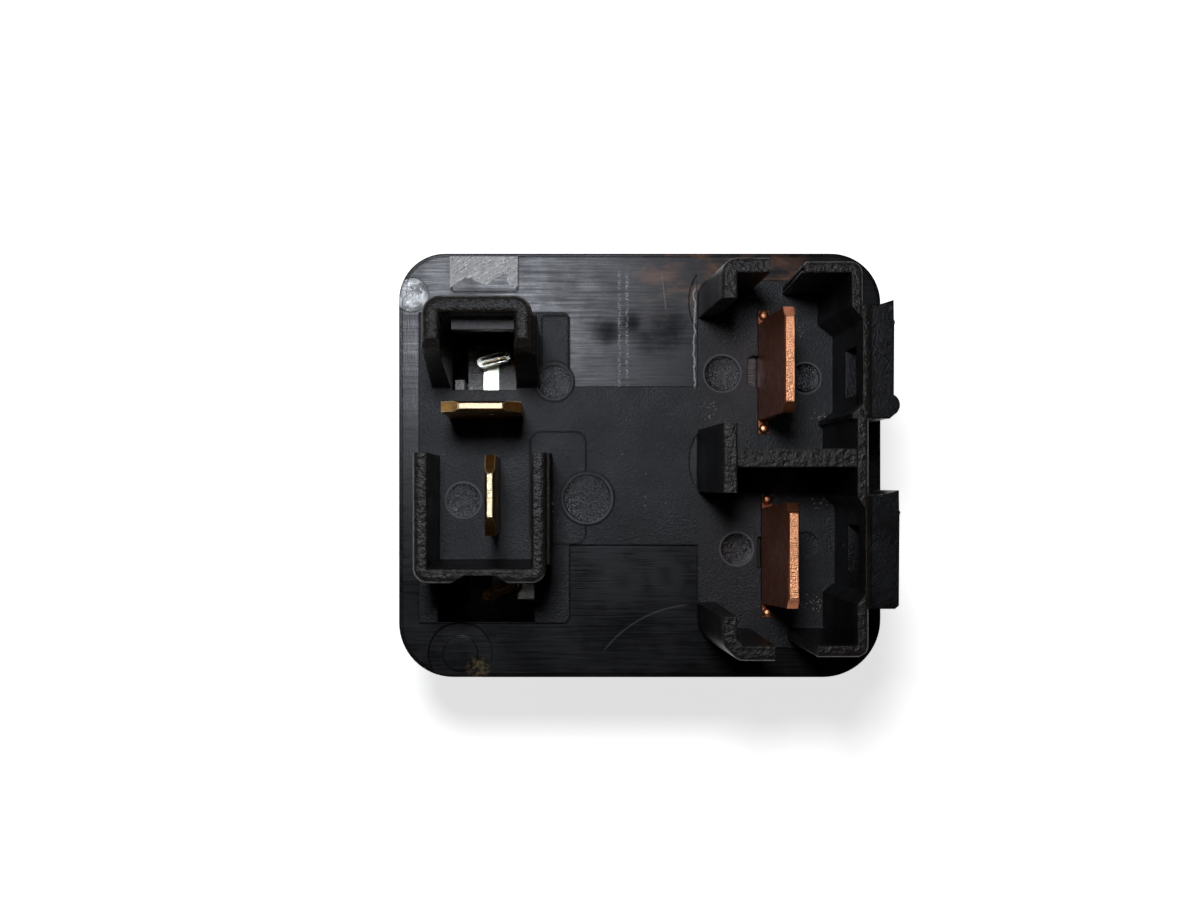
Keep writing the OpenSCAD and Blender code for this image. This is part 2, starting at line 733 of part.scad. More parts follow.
// open-sided walls of the two load cells
module cells() {
    difference() {
        union() {
            plate_wall([
                [load_x + hook_right_top, cell_top], [side_x, cell_top],
                [side_x, latch_up_y0 + bay_end]
            ], side_wall, cell_h, 0.1, 0.3);
            plate_wall([
                [low_side_x, latch_up_y0 + 0.3], [low_side_x, cell_low],
                [load_x + hook_right_low, cell_low]
            ], side_wall, cell_h, 0.1, 0.3);
            latch_block(side_x, latch_x, latch_up_y0, latch_up_y1);
            latch_block(low_side_x, latch_x + latch_step, latch_low_y0, latch_low_y1);
            // swelling at the foot corner of the upper block
            translate([latch_x - 0.4, latch_up_y0 + 1.05, z_top - e])
                cylinder(h = cell_h + e - 0.1, r = 0.88);
        }
        latch_cut(side_x, bay_x, latch_up_y0, latch_up_y1, window_up_y);
        latch_cut(
            low_side_x, bay_x + latch_step / 2, latch_low_y0, latch_low_y1, window_low_y
        );
        hook_slant(0);
    }
    // two thin ribs on the end of the upper right hook
    for (i = [0, 1])
        difference() {
            block(
                load_x + hook_right_top - 0.3, load_x + hook_right_top + hook_right_slant + 0.1,
                cell_top + 0.12 + 0.4 * i, cell_top + 0.34 + 0.4 * i,
                z_top - e, z_top + cell_h - 1
            );
            hook_slant(0.2);
        }
    // left hooks
    plate_wall([
        [hook_x, hook_side_end], [hook_x, cell_top],
        [load_x - hook_top_end, cell_top]
    ], hook_wall, cell_h, hook_draft);
    plate_wall([
        [hook_x, mid_low], [hook_x, mid_top]
    ], hook_wall, cell_h, hook_draft);
    plate_wall([
        [load_x - hook_top_end + 0.4, cell_low],
        [hook_x + hook_low_cut * 0.5, cell_low],
        [hook_x, cell_low + hook_low_cut * 0.5],
        [hook_x, hook_low_start]
    ], hook_wall, cell_h, hook_draft);
    // divider between the cells
    block(
        hook_x - 0.1, low_side_x + 0.1,
        divider_y - divider_t / 2, divider_y + divider_t / 2,
        z_top - e, z_top + cell_h - 0.25
    );
}

// slot for a coil blade or a load blade through the plate
module slot(x, y, w, t) {
    block(
        x - w / 2 - blade_gap, x + w / 2 + blade_gap,
        y - t / 2 - blade_gap, y + t / 2 + blade_gap,
        run_z - 1, z_top + 2
    );
}

// round pin marks left by the mould: place, radius, depth
pin_marks = [
    [-4.55, -2.83, 2.15, 0.12], [-7.4, 7.2, 1.55, 0.14], [-15.2, -3, 1.55, 0.08],
    [7.05, 7.9, 1.58, 0.2], [14.2, 7.5, 1.3, 0.2], [8.3, -7.2, 1.45, 0.16],
    [14.2, -6.9, 1.2, 0.08]
];

// shallow dish with a soft floor
module dish(r, depth) {
    rotate_extrude()
        polygon([
            [0, -depth], [0.45 * r, -0.94 * depth], [0.75 * r, -0.8 * depth],
            [0.93 * r, -0.55 * depth], [r, 0.02], [r, 1], [0, 1]
        ]);
}

// everything that is cut out of the plate's face
module face_marks() {
    for (m = pin_marks)
        translate([m[0] < 0 ? coil_x + m[0] + 12.5 : load_x + m[0] - 10.6, m[1], z_pad])
            dish(m[2], m[3]);
    // polished disc at the upper corner
    translate([1.1 - half_w, half_d - 3.6, z_top]) dish(1.5, 0.15);
    // sprue crater at the lower corner: a ring-shaped dish round a low boss
    translate([5.3 - half_w, 2.05 - half_d, z_top - 0.35])
        difference() {
            cylinder(h = 1, r = 2.75);
            translate([0, 0, -e]) cylinder(h = 0.3, r = 1.5);
        }
    // thin dishes beside the feet of the hooks
    for (m = [[half_d - 4.2, 3.1], [0.35, 3.5]])
        intersection() {
            translate([pad_x2 + 3.6, m[0], z_top - 0.2]) cylinder(h = 1, r = 4.3);
            block(pad_x2 - 0.75, pad_x2 + 0.02, m[0] - 3, m[0] + 3, z_top - 1, z_top + 2);
        }
    // pocket with round corners beside the upper load blade
    translate([load_x, load_up_y, z_pad - pocket_d])
        linear_extrude(2)
            round_box(-pocket_x, 0, pocket_y0, pocket_y1, 0.5, 0.1, 0.5, 0.1);
    // narrow pocket beside the lower one
    block(
        low_x - load_blade_t / 2 - 0.35, low_x, load_low_y - 1, load_low_y + 1.6,
        z_pad - 0.5, z_top + 2
    );
}

// witness line of a mould insert, as a fine ring-shaped groove
module insert_line(x0, x1, y0, y1, r, z) {
    translate([0, 0, z - 0.06])
        linear_extrude(0.5)
            difference() {
                round_box(x0, x1, y0, y1, r, r, r, r);
                round_box(
                    x0 + 0.1, x1 - 0.1, y0 + 0.1, y1 - 0.1, r - 0.1, r - 0.1,
                    r - 0.1, r - 0.1
                );
            }
}

module connector_base() {
    color("#26272a")
    difference() {
        union() {
            plate();
            platform();
            arch();
            cup();
            cells();
            // raised rims round two pin marks
            translate([coil_x + 7.95, -2.83, z_top]) cylinder(h = pad_h + 0.1, r = 2.35);
            translate([coil_x + 5.1, 7.2, z_top]) cylinder(h = pad_h + 0.08, r = 1.75);
            // ring that plugs the cover
            translate([0, 0, z_under - plug_h])
                linear_extrude(plug_h + e)
                    difference() {
                        case_outline(cover_inset + cover_wall + plug_gap);
                        case_outline(cover_inset + cover_wall + plug_gap + plug_wall);
                    }
            // snap barbs on the long sides
            for (x = [-barb_x, barb_x])
                for (side = [0, 180])
                    rotate([0, 0, side])
                        translate([
                            x - barb_w / 2, half_d - cover_inset - cover_wall - plug_gap,
                            z_under - plug_h + 0.3
                        ])
                            rotate([90, 0, 90])
                                linear_extrude(barb_w)
                                    polygon([
                                        [-e, 0], [0.15, 0], [barb_out, barb_h - 0.4],
                                        [barb_out, barb_h], [-e, barb_h]
                                    ]);
            // bosses under the plate that carry the blades
            block(
                load_x - 2.2, low_x + 2.4, load_low_y - load_shoulder / 2 - 1.2,
                load_up_y + load_shoulder / 2 + 1.2, run_z, z_under + e
            );
            block(
                cross_x - coil_blade_w / 2 - 1, cross_x + coil_blade_w / 2 + 1,
                cross_y - 1.4, cross_y + 1.4, run_z, z_under + e
            );
            block(
                coil_x - 1.4, coil_x + 1.4, upright_y - coil_blade_w / 2 - 0.9,
                upright_y + coil_blade_w / 2 + 0.9, run_z, z_under + e
            );
        }
        // slots for the blades
        slot(cross_x, cross_y, coil_blade_w, coil_blade_t);
        slot(coil_x, upright_y, coil_blade_t, coil_blade_w);
        slot(load_x, load_up_y, load_blade_t, load_shoulder);
        slot(low_x, load_low_y, load_blade_t, load_shoulder);
        // openings over the wire tabs
        block(
            arch_x0 + (arch_in_w - port_up_w) / 2, arch_x1 - (arch_in_w - port_up_w) / 2,
            port_up_y0, port_up_y1, z_under - 0.5, z_top + 1
        );
        block(
            coil_x - port_low_left, coil_x + port_low_right,
            port_low_y0, port_low_y1, z_under - 0.5, z_top + 1
        );
        face_marks();
        insert_line(coil_x + 3, coil_x + 7.9, -6.9, 2.9, 1, z_pad);
        insert_line(coil_x + 4, coil_x + 6.4, pad_bridge_top + 0.4, 12.9, 0.4, z_pad);
        insert_line(-half_w + 4.5, -half_w + 10.3, half_d - 3.4, half_d + 2, 0.3, z_top);
    }
}

// ---- cover ----

module cover() {
    color("#202124")
    difference() {
        union() {
            // the closed end is slightly domed down to a flat with a soft edge
            linear_extrude(0.4) case_outline(cover_inset + 0.45);
            translate([0, 0, 0.4 - e]) linear_extrude(0.5 + e) case_outline(cover_inset + 0.15);
            translate([0, 0, 0.9 - e])
                linear_extrude(z_under - 0.9 + e - 0.02) case_outline(cover_inset);
        }
        translate([0, 0, cover_floor])
            linear_extrude(case_h) case_outline(cover_inset + cover_wall);
        // windows for the barbs
        for (x = [-barb_x, barb_x])
            for (side = [-1, 1])
                translate([x, side * (half_d - cover_inset - cover_wall / 2), 0])
                    block(
                        -barb_w / 2 - barb_gap, barb_w / 2 + barb_gap,
                        -cover_wall, cover_wall,
                        z_under - plug_h + 0.3 - barb_gap, z_under - plug_h + 0.3 + barb_h + 0.05
                    );
    }
}

// ---- terminals ----

// upright tab that a wire is soldered to
module wire_tab() {
    block(-tab_w / 2, tab_w / 2, -tab_t / 2, tab_t / 2, 0, tab_top - shelf_z - 0.4);
}

// brass blade across the plug; its strip runs forward to the wire tab
module coil_terminal_upper() {
    color("#b08d4a")
    difference() {
        union() {
            translate([cross_x, cross_y, 0])
                blade(
                    coil_blade_w, coil_blade_t, shelf_z,
                    z_top + coil_blade_h, coil_tip, coil_tip_t
                );
            // narrow strip along the bobbin shelf
            block(
                coil_x - 1.2, coil_x + 0.2, cross_y - coil_blade_t / 2, tab_up_y - 0.2,
                shelf_z, shelf_z + strip_t
            );
            // tab for the wire, turned a little
            translate([coil_x - tab_aside, tab_up_y, shelf_z])
                rotate([0, 0, tab_turn_up]) wire_tab();
        }
        translate([cross_x, cross_y, z_top + coil_hole_h])
            rotate([90, 0, 0]) cylinder(h = 4, r = coil_hole_r, center = true);
    }
}

// brass blade along the plug; its tail runs back to the other tab
module coil_terminal_lower() {
    color("#b08d4a")
    difference() {
        union() {
            translate([coil_x, upright_y, 0])
                rotate([0, 0, 90])
                    blade(
                        coil_blade_w, coil_blade_t, shelf_z,
                        z_top + coil_blade_h, coil_tip, coil_tip_t
                    );
            block(
                coil_x - coil_blade_t / 2, coil_x + coil_blade_t / 2,
                tab_low_y - tab_t / 2, upright_y, shelf_z, shelf_z + 1.6
            );
            translate([coil_x + tab_aside, tab_low_y, shelf_z])
                rotate([0, 0, tab_turn_low]) wire_tab();
        }
        translate([coil_x, upright_y, z_top + coil_hole_h])
            rotate([0, 90, 0]) cylinder(h = 4, r = coil_hole_r, center = true);
    }
}

cap_r = tab_t / 2 + 0.15;

// solder cap on a wire tab
module solder_cap(x, y, turn) {
    translate([x, y, shelf_z])
        rotate([0, 0, turn])
            difference() {
                union() {
                    block(
                        -tab_w / 2, tab_w / 2, -cap_r, cap_r,
                        tab_top - shelf_z - 1.9, tab_top - shelf_z - 0.15
                    );
                    translate([0, 0, tab_top - shelf_z - cap_r])
                        rotate([0, 90, 0])
                            cylinder(h = tab_w, r = cap_r, center = true, $fn = 32);
                    for (s = [-1, 1])
                        translate([s * tab_w / 2, 0, tab_top - shelf_z - 1.9])
                            cylinder(h = 1.6, r = cap_r, $fn = 32);
                }
                wire_tab();
            }
}

module solder_joint_upper() {
    color("#c9ccd0") solder_cap(coil_x - tab_aside, tab_up_y, tab_turn_up);
}

module solder_joint_lower() {
    color("#c9ccd0") solder_cap(coil_x + tab_aside, tab_low_y, tab_turn_low);
}

// side view of a load terminal: blade, run under the plate and inner leg
module load_profile(x, leg, leg_z) {
    polygon([
        [x - load_blade_t / 2, z_top - 0.15], [x - load_blade_t / 2, run_z],
        [leg + load_blade_t, run_z], [leg, run_z - load_blade_t],
        [leg, leg_z], [leg + load_blade_t, leg_z],
        [leg + load_blade_t, run_z - load_blade_t],
        [x + load_blade_t / 2 - 0.4, run_z - load_blade_t],
        [x + load_blade_t / 2, run_z - load_blade_t + 0.4],
        [x + load_blade_t / 2, z_top - 0.15]
    ]);
}

// copper blade with shoulders at the plate; it leans over along Y at its tip
module load_blade(x, y, lean) {
    translate([x, y, 0])
        rotate([0, 0, 90])
            blade(load_blade_w, load_blade_t, run_z, z_top + load_blade_h, load_tip, 0.12, lean);
    block(
        x - load_blade_t / 2, x + load_blade_t / 2,
        y - load_shoulder / 2, y + load_shoulder / 2,
        run_z, z_top + pad_h + 0.1
    );
    // metal upset into a bead at each end of the shoulders
    for (side = [-1, 1])
        translate([x, y + side * (load_shoulder / 2 - bead_r - 0.02), z_top + pad_h])
            rotate_extrude()
                polygon([
                    [0, -0.1], [bead_r, -0.1], [bead_r, 0.14], [0.86 * bead_r, 0.28],
                    [0.55 * bead_r, 0.4], [0, 0.45]
                ]);
}

// upper load terminal, which the braid is welded to
module load_terminal_upper() {
    color("#b8693f") {
        load_blade(load_x, load_up_y, 0);
        // narrower leg straight below the blade
        translate([load_x + load_blade_t / 2, load_up_y, 0])
            rotate([90, 0, -90])
                linear_extrude(load_blade_t)
                    polygon([
                        [-load_leg_w / 2, run_z + e], [-load_leg_w / 2, core_z - 1.4],
                        [0.8 - load_leg_w / 2, core_z - 2.2],
                        [load_leg_w / 2 - 0.8, core_z - 2.2],
                        [load_leg_w / 2, core_z - 1.4], [load_leg_w / 2, run_z + e]
                    ]);
    }
}

// lower load terminal, which carries the fixed contact
module load_terminal_lower() {
    color("#b8693f")
    difference() {
        union() {
            load_blade(low_x, load_low_y, load_lean);
            translate([0, contact_y + load_leg_w / 2, 0])
                rotate([90, 0, 0])
                    linear_extrude(load_leg_w) load_profile(low_x, leg_x, core_z - 3.2);
        }
        translate([leg_x - 1, contact_y, core_z])
            rotate([0, 90, 0]) cylinder(h = 4, r = 1);
    }
}

// face of the upper terminal that the braid reaches
braid_x = leaf_x + leaf_t + braid_r;
braid_leg = load_x - load_blade_t / 2;
braid_y1 = hinge_y - arm_len + leaf_lap;

// ---- magnet ----

module bobbin() {
    color("#3a3128")
    difference() {
        union() {
            translate([core_x, flange_front, core_z])
                rotate([90, 0, 0])
                    cylinder(h = flange_front - flange_rear, r = core_r + core_gap + bobbin_wall);
            for (y = [flange_rear, flange_front - flange_t])
                block(
                    core_x - flange_half, core_x + flange_half, y, y + flange_t,
                    core_z - flange_half, flange_z1
                );
            // shelves over the two ends carry the terminals' strips
            block(
                coil_x - shelf_left, coil_x + shelf_right,
                flange_front - flange_t, flange_front + shelf_out,
                flange_z1 - 0.2, shelf_z
            );
            block(
                coil_x - shelf_left, coil_x + shelf_right,
                flange_rear - shelf_back, flange_rear + flange_t,
                flange_z1 - 0.2, shelf_z
            );
            // lugs that stand against the plate
            for (y = [flange_rear, flange_front - flange_t])
                for (x = [coil_x - lug_left, coil_x + lug_right])
                    block(x, x + lug_w, y, y + flange_t, flange_z1 - 0.2, z_under - 0.02);
        }
        translate([core_x, flange_front + 1, core_z])
            rotate([90, 0, 0])
                cylinder(h = flange_front - flange_rear + 2, r = core_r + core_gap);
    }
}

// copper winding, a little barrelled at its ends
module coil_winding() {
    color("#a5532a")
    translate([core_x, flange_front - flange_t - 0.02, core_z])
        rotate([90, 0, 0])
            rotate_extrude() {
                len_w = flange_front - flange_rear - 2 * flange_t - 0.04;
                r0 = core_r + core_gap + bobbin_wall + 0.02;
                polygon([
                    [r0, 0], [winding_r - 0.3, 0], [winding_r, 0.5],
                    [winding_r, len_w - 0.5], [winding_r - 0.3, len_w], [r0, len_w]
                ]);
            }
}

// soft iron core with its pole plate in front and a riveted tail behind
module core() {
    color("#9a9ca0")
    translate([core_x, 0, core_z])
        rotate([90, 0, 0]) {
            translate([0, 0, -pole_y]) cylinder(h = pole_t, r = pole_r);
            translate([0, 0, e - pole_y]) cylinder(h = pole_y - rear_y1 - e, r = core_r);
            translate([0, 0, -rear_y1 - e]) cylinder(h = yoke_t + e, r = core_tail_r);
            translate([0, 0, -rear_y0]) cylinder(h = 0.5, r1 = core_tail_r + 0.4, r2 = core_tail_r);
        }
}

// L-shaped yoke
module yoke() {
    color("#a9abae")
    difference() {
        union() {
            translate([0, 0, core_z - yoke_w / 2])
                linear_extrude(yoke_w) {
                    // long arm beside the coil and short arm behind it
                    polygon([
                        [arm_x0, pole_y], [arm_x0, rear_y1], [core_x - 5.5, rear_y1],
                        [core_x - 5.5, rear_y0], [arm_x1 - yoke_bend, rear_y0],
                        [arm_x1, rear_y0 + yoke_bend], [arm_x1, pole_y]
                    ]);
                    intersection() {
                        translate([arm_x1 - yoke_bend, rear_y0 + yoke_bend])
                            circle(yoke_bend);
                        translate([arm_x1 - yoke_bend - e, rear_y0 - e])
                            square(yoke_bend + 2 * e);
                    }
                }
            // ear for the return spring
            block(
                arm_x0, spring_x + 0.7, spring_y0 - 0.5, spring_y0 + 0.5,
                core_z - yoke_w / 2 - 0.6, core_z - yoke_w / 2 + e
            );
        }
        translate([core_x, rear_y1 + 1, core_z])
            rotate([90, 0, 0]) cylinder(h = yoke_t + 2, r = core_tail_r);
        translate([spring_x, spring_y0, core_z - yoke_w / 2 - 2])
            cylinder(h = 4, r = return_wire + 0.25, $fn = 24);
    }
}

// ---- armature ----

// angled armature: one arm before the pole, one along the yoke
module armature() {
    color("#b4b6b9")
    difference() {
        union() {
            translate([0, 0, core_z - armature_w / 2])
                linear_extrude(armature_w) {
                    translate([hinge_x, hinge_y])
                        rotate(-swing)
                            translate([core_x - pole_r - 1 - hinge_x, pole_gap])
                                square([hinge_x - core_x + pole_r + 1, armature_t]);
                    // knee round the end of the yoke
                    polygon([
                        [hinge_x - 0.6, hinge_y + pole_gap + 0.06],
                        [arm_in, hinge_y + pole_gap],
                        [arm_in, hinge_y - 1.5], [leaf_x, hinge_y - 1.5],
                        [leaf_x, hinge_y + 0.4], [leaf_x - 0.7, hinge_y + armature_t - 0.1],
                        [hinge_x - 0.5, hinge_y + armature_t + pole_gap + 0.03]
                    ]);
                    // contact arm
                    translate([arm_in, hinge_y - arm_len])
                        square([armature_t, arm_len - 0.2]);
                }
            // ear for the return spring
            block(
                arm_in + 0.2, spring_x + 0.7, spring_y1 - 0.5, spring_y1 + 0.5,
                ear_z - ear_down, ear_z - ear_down + 0.9
            );
            block(
                arm_in + 0.2, leaf_x, spring_y1 - 0.5, spring_y1 + 0.5,
                ear_z - ear_down, ear_z + e
            );
        }
        translate([spring_x, spring_y1, ear_z - 3])
            cylinder(h = 4, r = return_wire + 0.25, $fn = 24);
        armature_holes(rivet_r);
    }
}

// places of the two rivets through arm and leaf
module armature_holes(r) {
    for (z = [-rivet_half, rivet_half])
        translate([arm_in - 1, hinge_y - arm_len + leaf_lap - rivet_in, core_z + z])
            rotate([0, 90, 0]) cylinder(h = 6, r = r, $fn = 32);
}

// copper leaf riveted to the arm; its free end carries the contact
module contact_spring() {
    color("#c08a4c")
    difference() {
        translate([leaf_x, 0, core_z])
            rotate([90, 0, 90])
                linear_extrude(leaf_t) {
                    translate([contact_y, -leaf_w / 2])
                        square([braid_y1 - contact_y, leaf_w]);
                    translate([contact_y, 0]) circle(leaf_w / 2);
                }
        armature_holes(rivet_r);
        translate([leaf_x - 1, contact_y, core_z])
            rotate([0, 90, 0]) cylinder(h = 3, r = 0.9);
        // slot that splits the leaf between contact and arm
        block(
            leaf_x - 1, leaf_x + 1, contact_y + contact_r + 0.5, hinge_y - arm_len - 0.6,
            core_z - 0.25, core_z + 0.25
        );
    }
}

module contact_rivets() {
    color("#c9a15c")
    for (z = [-rivet_half, rivet_half])
        translate([0, hinge_y - arm_len + leaf_lap - rivet_in, core_z + z])
            rotate([0, 90, 0]) {
                translate([0, 0, arm_in + 0.1])
                    cylinder(h = leaf_x + leaf_t - arm_in - 0.1 + e, r = rivet_r, $fn = 32);
                translate([0, 0, leaf_x + leaf_t])
                    cylinder(h = rivet_head_h, r1 = rivet_head_r, r2 = rivet_head_r - 0.3, $fn = 32);
            }
}

// silver contact with a shank through the leaf
module moving_contact() {
    color("#d5d6d8")
    translate([leaf_x, contact_y, core_z])
        rotate([0, 90, 0]) {
            translate([0, 0, leaf_t]) cylinder(h = 0.6 * contact_h, r = contact_r);
            translate([0, 0, leaf_t + 0.6 * contact_h - e])
                cylinder(h = 0.4 * contact_h + e, r1 = contact_r, r2 = contact_flat);
            translate([0, 0, -e]) cylinder(h = leaf_t + 2 * e, r = 0.9);
            translate([0, 0, -0.4]) cylinder(h = 0.4, r1 = 1.2, r2 = 1.5);
        }
}

// silver contact riveted to the lower load terminal
module fixed_contact() {
    color("#d5d6d8")
    translate([anvil_x, contact_y, core_z])
        rotate([0, 90, 0]) {
            cylinder(h = 0.25 + e, r1 = anvil_r - 0.25, r2 = anvil_r);
            translate([0, 0, 0.25]) cylinder(h = anvil_h - 0.25, r = anvil_r);
            translate([0, 0, anvil_h - e]) cylinder(h = load_blade_t + 2 * e, r = 1);
            translate([0, 0, anvil_h + load_blade_t]) cylinder(h = 0.5, r1 = 1.6, r2 = 1.3);
        }
}

// braid from the upper load terminal to the leaf
module braid() {
    color("#b5643a")
    translate([0, 0, core_z]) {
        translate([braid_x + braid_bend, braid_y1 + braid_bend - 0.6, 0])
            rotate([0, 90, 0])
                cylinder(h = braid_leg - braid_x - braid_bend, r = braid_r, $fn = 32);
        translate([braid_x + braid_bend, braid_y1 - 0.6, 0])
            rotate([0, 0, 90])
                rotate_extrude(angle = 90, $fn = 64)
                    translate([braid_bend, 0]) circle(braid_r, $fn = 32);
        translate([braid_x, braid_y1 - 0.6 + e, 0])
            rotate([90, 0, 0]) cylinder(h = 2.6, r = braid_r, $fn = 32);
    }
}

// ---- return spring ----

spring_x = leaf_x + return_out;
spring_y1 = hinge_y - 0.8;
spring_y0 = rear_y0 + 6;

// point on the middle line of the wire, t from 0 to 1
function coil_point(t, y0, y1) = [
    spring_x + return_r * cos(360 * return_turns * t),
    y0 + (y1 - y0) * t,
    spring_z + return_r * sin(360 * return_turns * t)
];
spring_z = ear_z - ear_down - return_r - 0.3;

// extension spring: a tight coil with a hook at each end, all one wire
module return_spring() {
    y0 = spring_y0 + spring_hook;
    y1 = spring_y1 - spring_hook;
    steps = return_turns * 10;
    yoke_ear = core_z - yoke_w / 2 - 0.6;
    color("#8d9094")
    wire_path(concat(
        [
            [spring_x, spring_y0, yoke_ear + 0.7],
            [spring_x, spring_y0, yoke_ear - 0.3],
            [spring_x, spring_y0 + 0.35, yoke_ear - 0.62],
            [spring_x + 0.6 * return_r, y0 - 0.35, spring_z + 0.5 * return_r]
        ],
        [for (i = [0 : steps]) coil_point(i / steps, y0, y1)],
        [
            [spring_x + 0.6 * return_r, y1 + 0.35, spring_z + 0.5 * return_r],
            [spring_x, spring_y1 - 0.35, ear_z - ear_down - 0.32],
            [spring_x, spring_y1, ear_z - ear_down],
            [spring_x, spring_y1, ear_z - ear_down + 1]
        ]
    ), return_wire, 6);
}

// ---- wires and resistor ----

module coil_lead_upper() {
    color("#b0602f")
    wire_path([
        [coil_x + lead_x, flange_front - flange_t - 0.5, core_z + winding_r - 0.1],
        [coil_x + lead_x, flange_front - flange_t - 0.4, flange_z1 - 0.2],
        [coil_x + lead_x, flange_front - flange_t, flange_z1 + 0.5],
        [coil_x + lead_x - 0.1, flange_front + 0.8, shelf_z + 0.3],
        [coil_x + 1.5, tab_up_y - 0.2, shelf_z + 0.8],
        [coil_x + 0.95, tab_up_y + 0.8, tab_top - 2.1]
    ], lead_r);
}

module coil_lead_lower() {
    color("#b0602f")
    wire_path([
        [coil_x + lead_x, flange_rear + flange_t + 0.5, core_z + winding_r - 0.1],
        [coil_x + lead_x, flange_rear + flange_t + 0.4, flange_z1 - 0.2],
        [coil_x + lead_x, flange_rear + flange_t, flange_z1 + 0.5],
        [coil_x + lead_x - 0.1, tab_low_y, shelf_z + 0.3],
        [coil_x + 1.8, tab_low_y - 0.3, shelf_z + 0.9],
        [coil_x + 1.3, tab_low_y, tab_top - 1.9]
    ], lead_r);
}

res_x = core_x + 3.2;
res_z = flange_z1 + resistor_r + 0.1;
res_y = -1.6;

// suppression resistor over the coil, its ends a little thicker
module resistor() {
    color("#7d8a6a")
    translate([res_x, res_y + resistor_len / 2, res_z])
        rotate([90, 0, 0])
            rotate_extrude()
                polygon([
                    [0, 0], [resistor_r - 0.35, 0], [resistor_r - 0.1, 0.2],
                    [resistor_r, 0.6], [resistor_r, 1.3], [resistor_r - 0.15, 1.6],
                    [resistor_r - 0.15, resistor_len - 1.6], [resistor_r, resistor_len - 1.3],
                    [resistor_r, resistor_len - 0.6], [resistor_r - 0.1, resistor_len - 0.2],
                    [resistor_r - 0.35, resistor_len], [0, resistor_len]
                ]);
}

module resistor_leads() {
    color("#b9bcc0") {
        wire_path([
            [res_x, res_y + resistor_len / 2 + 0.02 + resistor_wire, res_z],
            [res_x, cross_y + 0.2, res_z],
            [coil_x + 0.2 + resistor_wire, cross_y + 1.2, shelf_z + strip_t - resistor_wire]
        ], resistor_wire);
        wire_path([
            [res_x, res_y - resistor_len / 2 - 0.02 - resistor_wire, res_z],
            [res_x, res_y - resistor_len / 2 - 1.6, res_z],
            [
                coil_x + coil_blade_t / 2 + resistor_wire, flange_rear + 2.6,
                shelf_z + 0.8
            ]
        ], resistor_wire);
    }
}

connector_base();
cover();
coil_terminal_upper();
coil_terminal_lower();
solder_joint_upper();
solder_joint_lower();
load_terminal_upper();
load_terminal_lower();
bobbin();
coil_winding();
core();
yoke();
armature();
contact_spring();
contact_rivets();
moving_contact();
fixed_contact();
braid();
return_spring();
coil_lead_upper();
coil_lead_lower();
resistor();
resistor_leads();
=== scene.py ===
# %% [markdown]
# # A sealed four-terminal relay, seen from its terminal side
#
# The solids come ready from the CAD model: 23 nodes, in metres, standing on
# the flat end of the cover with the blades pointing up. This script dresses
# them. It sets a camera and plain studio light, writes a finish for each
# material, and adds what is too fine for the solids: a torn skin, crumbs, wire
# turns and braid strands.

# %% Load the frame
import math
import random
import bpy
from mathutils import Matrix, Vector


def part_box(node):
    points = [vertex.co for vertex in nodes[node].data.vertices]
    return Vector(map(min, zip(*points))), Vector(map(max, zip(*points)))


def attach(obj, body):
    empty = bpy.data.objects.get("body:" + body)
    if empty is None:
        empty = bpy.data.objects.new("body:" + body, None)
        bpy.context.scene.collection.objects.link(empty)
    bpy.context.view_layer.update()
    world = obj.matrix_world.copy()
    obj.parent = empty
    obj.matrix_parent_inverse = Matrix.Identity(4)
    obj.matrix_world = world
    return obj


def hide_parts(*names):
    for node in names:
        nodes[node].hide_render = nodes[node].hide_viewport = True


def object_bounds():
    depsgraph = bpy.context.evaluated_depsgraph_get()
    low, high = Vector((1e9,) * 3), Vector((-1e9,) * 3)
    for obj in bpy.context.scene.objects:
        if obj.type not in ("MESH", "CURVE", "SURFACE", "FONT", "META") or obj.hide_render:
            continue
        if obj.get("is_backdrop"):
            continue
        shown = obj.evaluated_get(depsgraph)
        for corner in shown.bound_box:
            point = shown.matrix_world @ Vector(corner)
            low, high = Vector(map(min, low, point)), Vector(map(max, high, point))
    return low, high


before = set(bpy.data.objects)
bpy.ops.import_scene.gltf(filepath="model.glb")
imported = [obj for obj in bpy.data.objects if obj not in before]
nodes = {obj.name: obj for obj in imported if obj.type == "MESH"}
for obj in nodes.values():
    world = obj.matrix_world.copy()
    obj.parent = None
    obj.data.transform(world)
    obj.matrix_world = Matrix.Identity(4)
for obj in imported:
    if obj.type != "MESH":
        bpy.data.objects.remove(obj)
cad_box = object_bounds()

from types import SimpleNamespace

import bmesh
import bpy
from mathutils import Vector

MM = 0.001
print("nodes:", len(nodes), "box in mm:", [[round(v / MM, 2) for v in c] for c in cad_box])

# %% [markdown]
# Everything that is added finds its place from the solids, measured in
# millimetres. The plate's face lies two millimetres over the cover's open end,
# the blades give the middle of each plug, and the cover gives the outer edges.

# %% Read the places from the solids
def above(name, z):
    """Box of what a node has higher than z, in millimetres."""
    pts = [v.co / MM for v in nodes[name].data.vertices if v.co.z / MM > z]
    return [[pick(p[k] for p in pts) for k in range(3)] for pick in (min, max)]


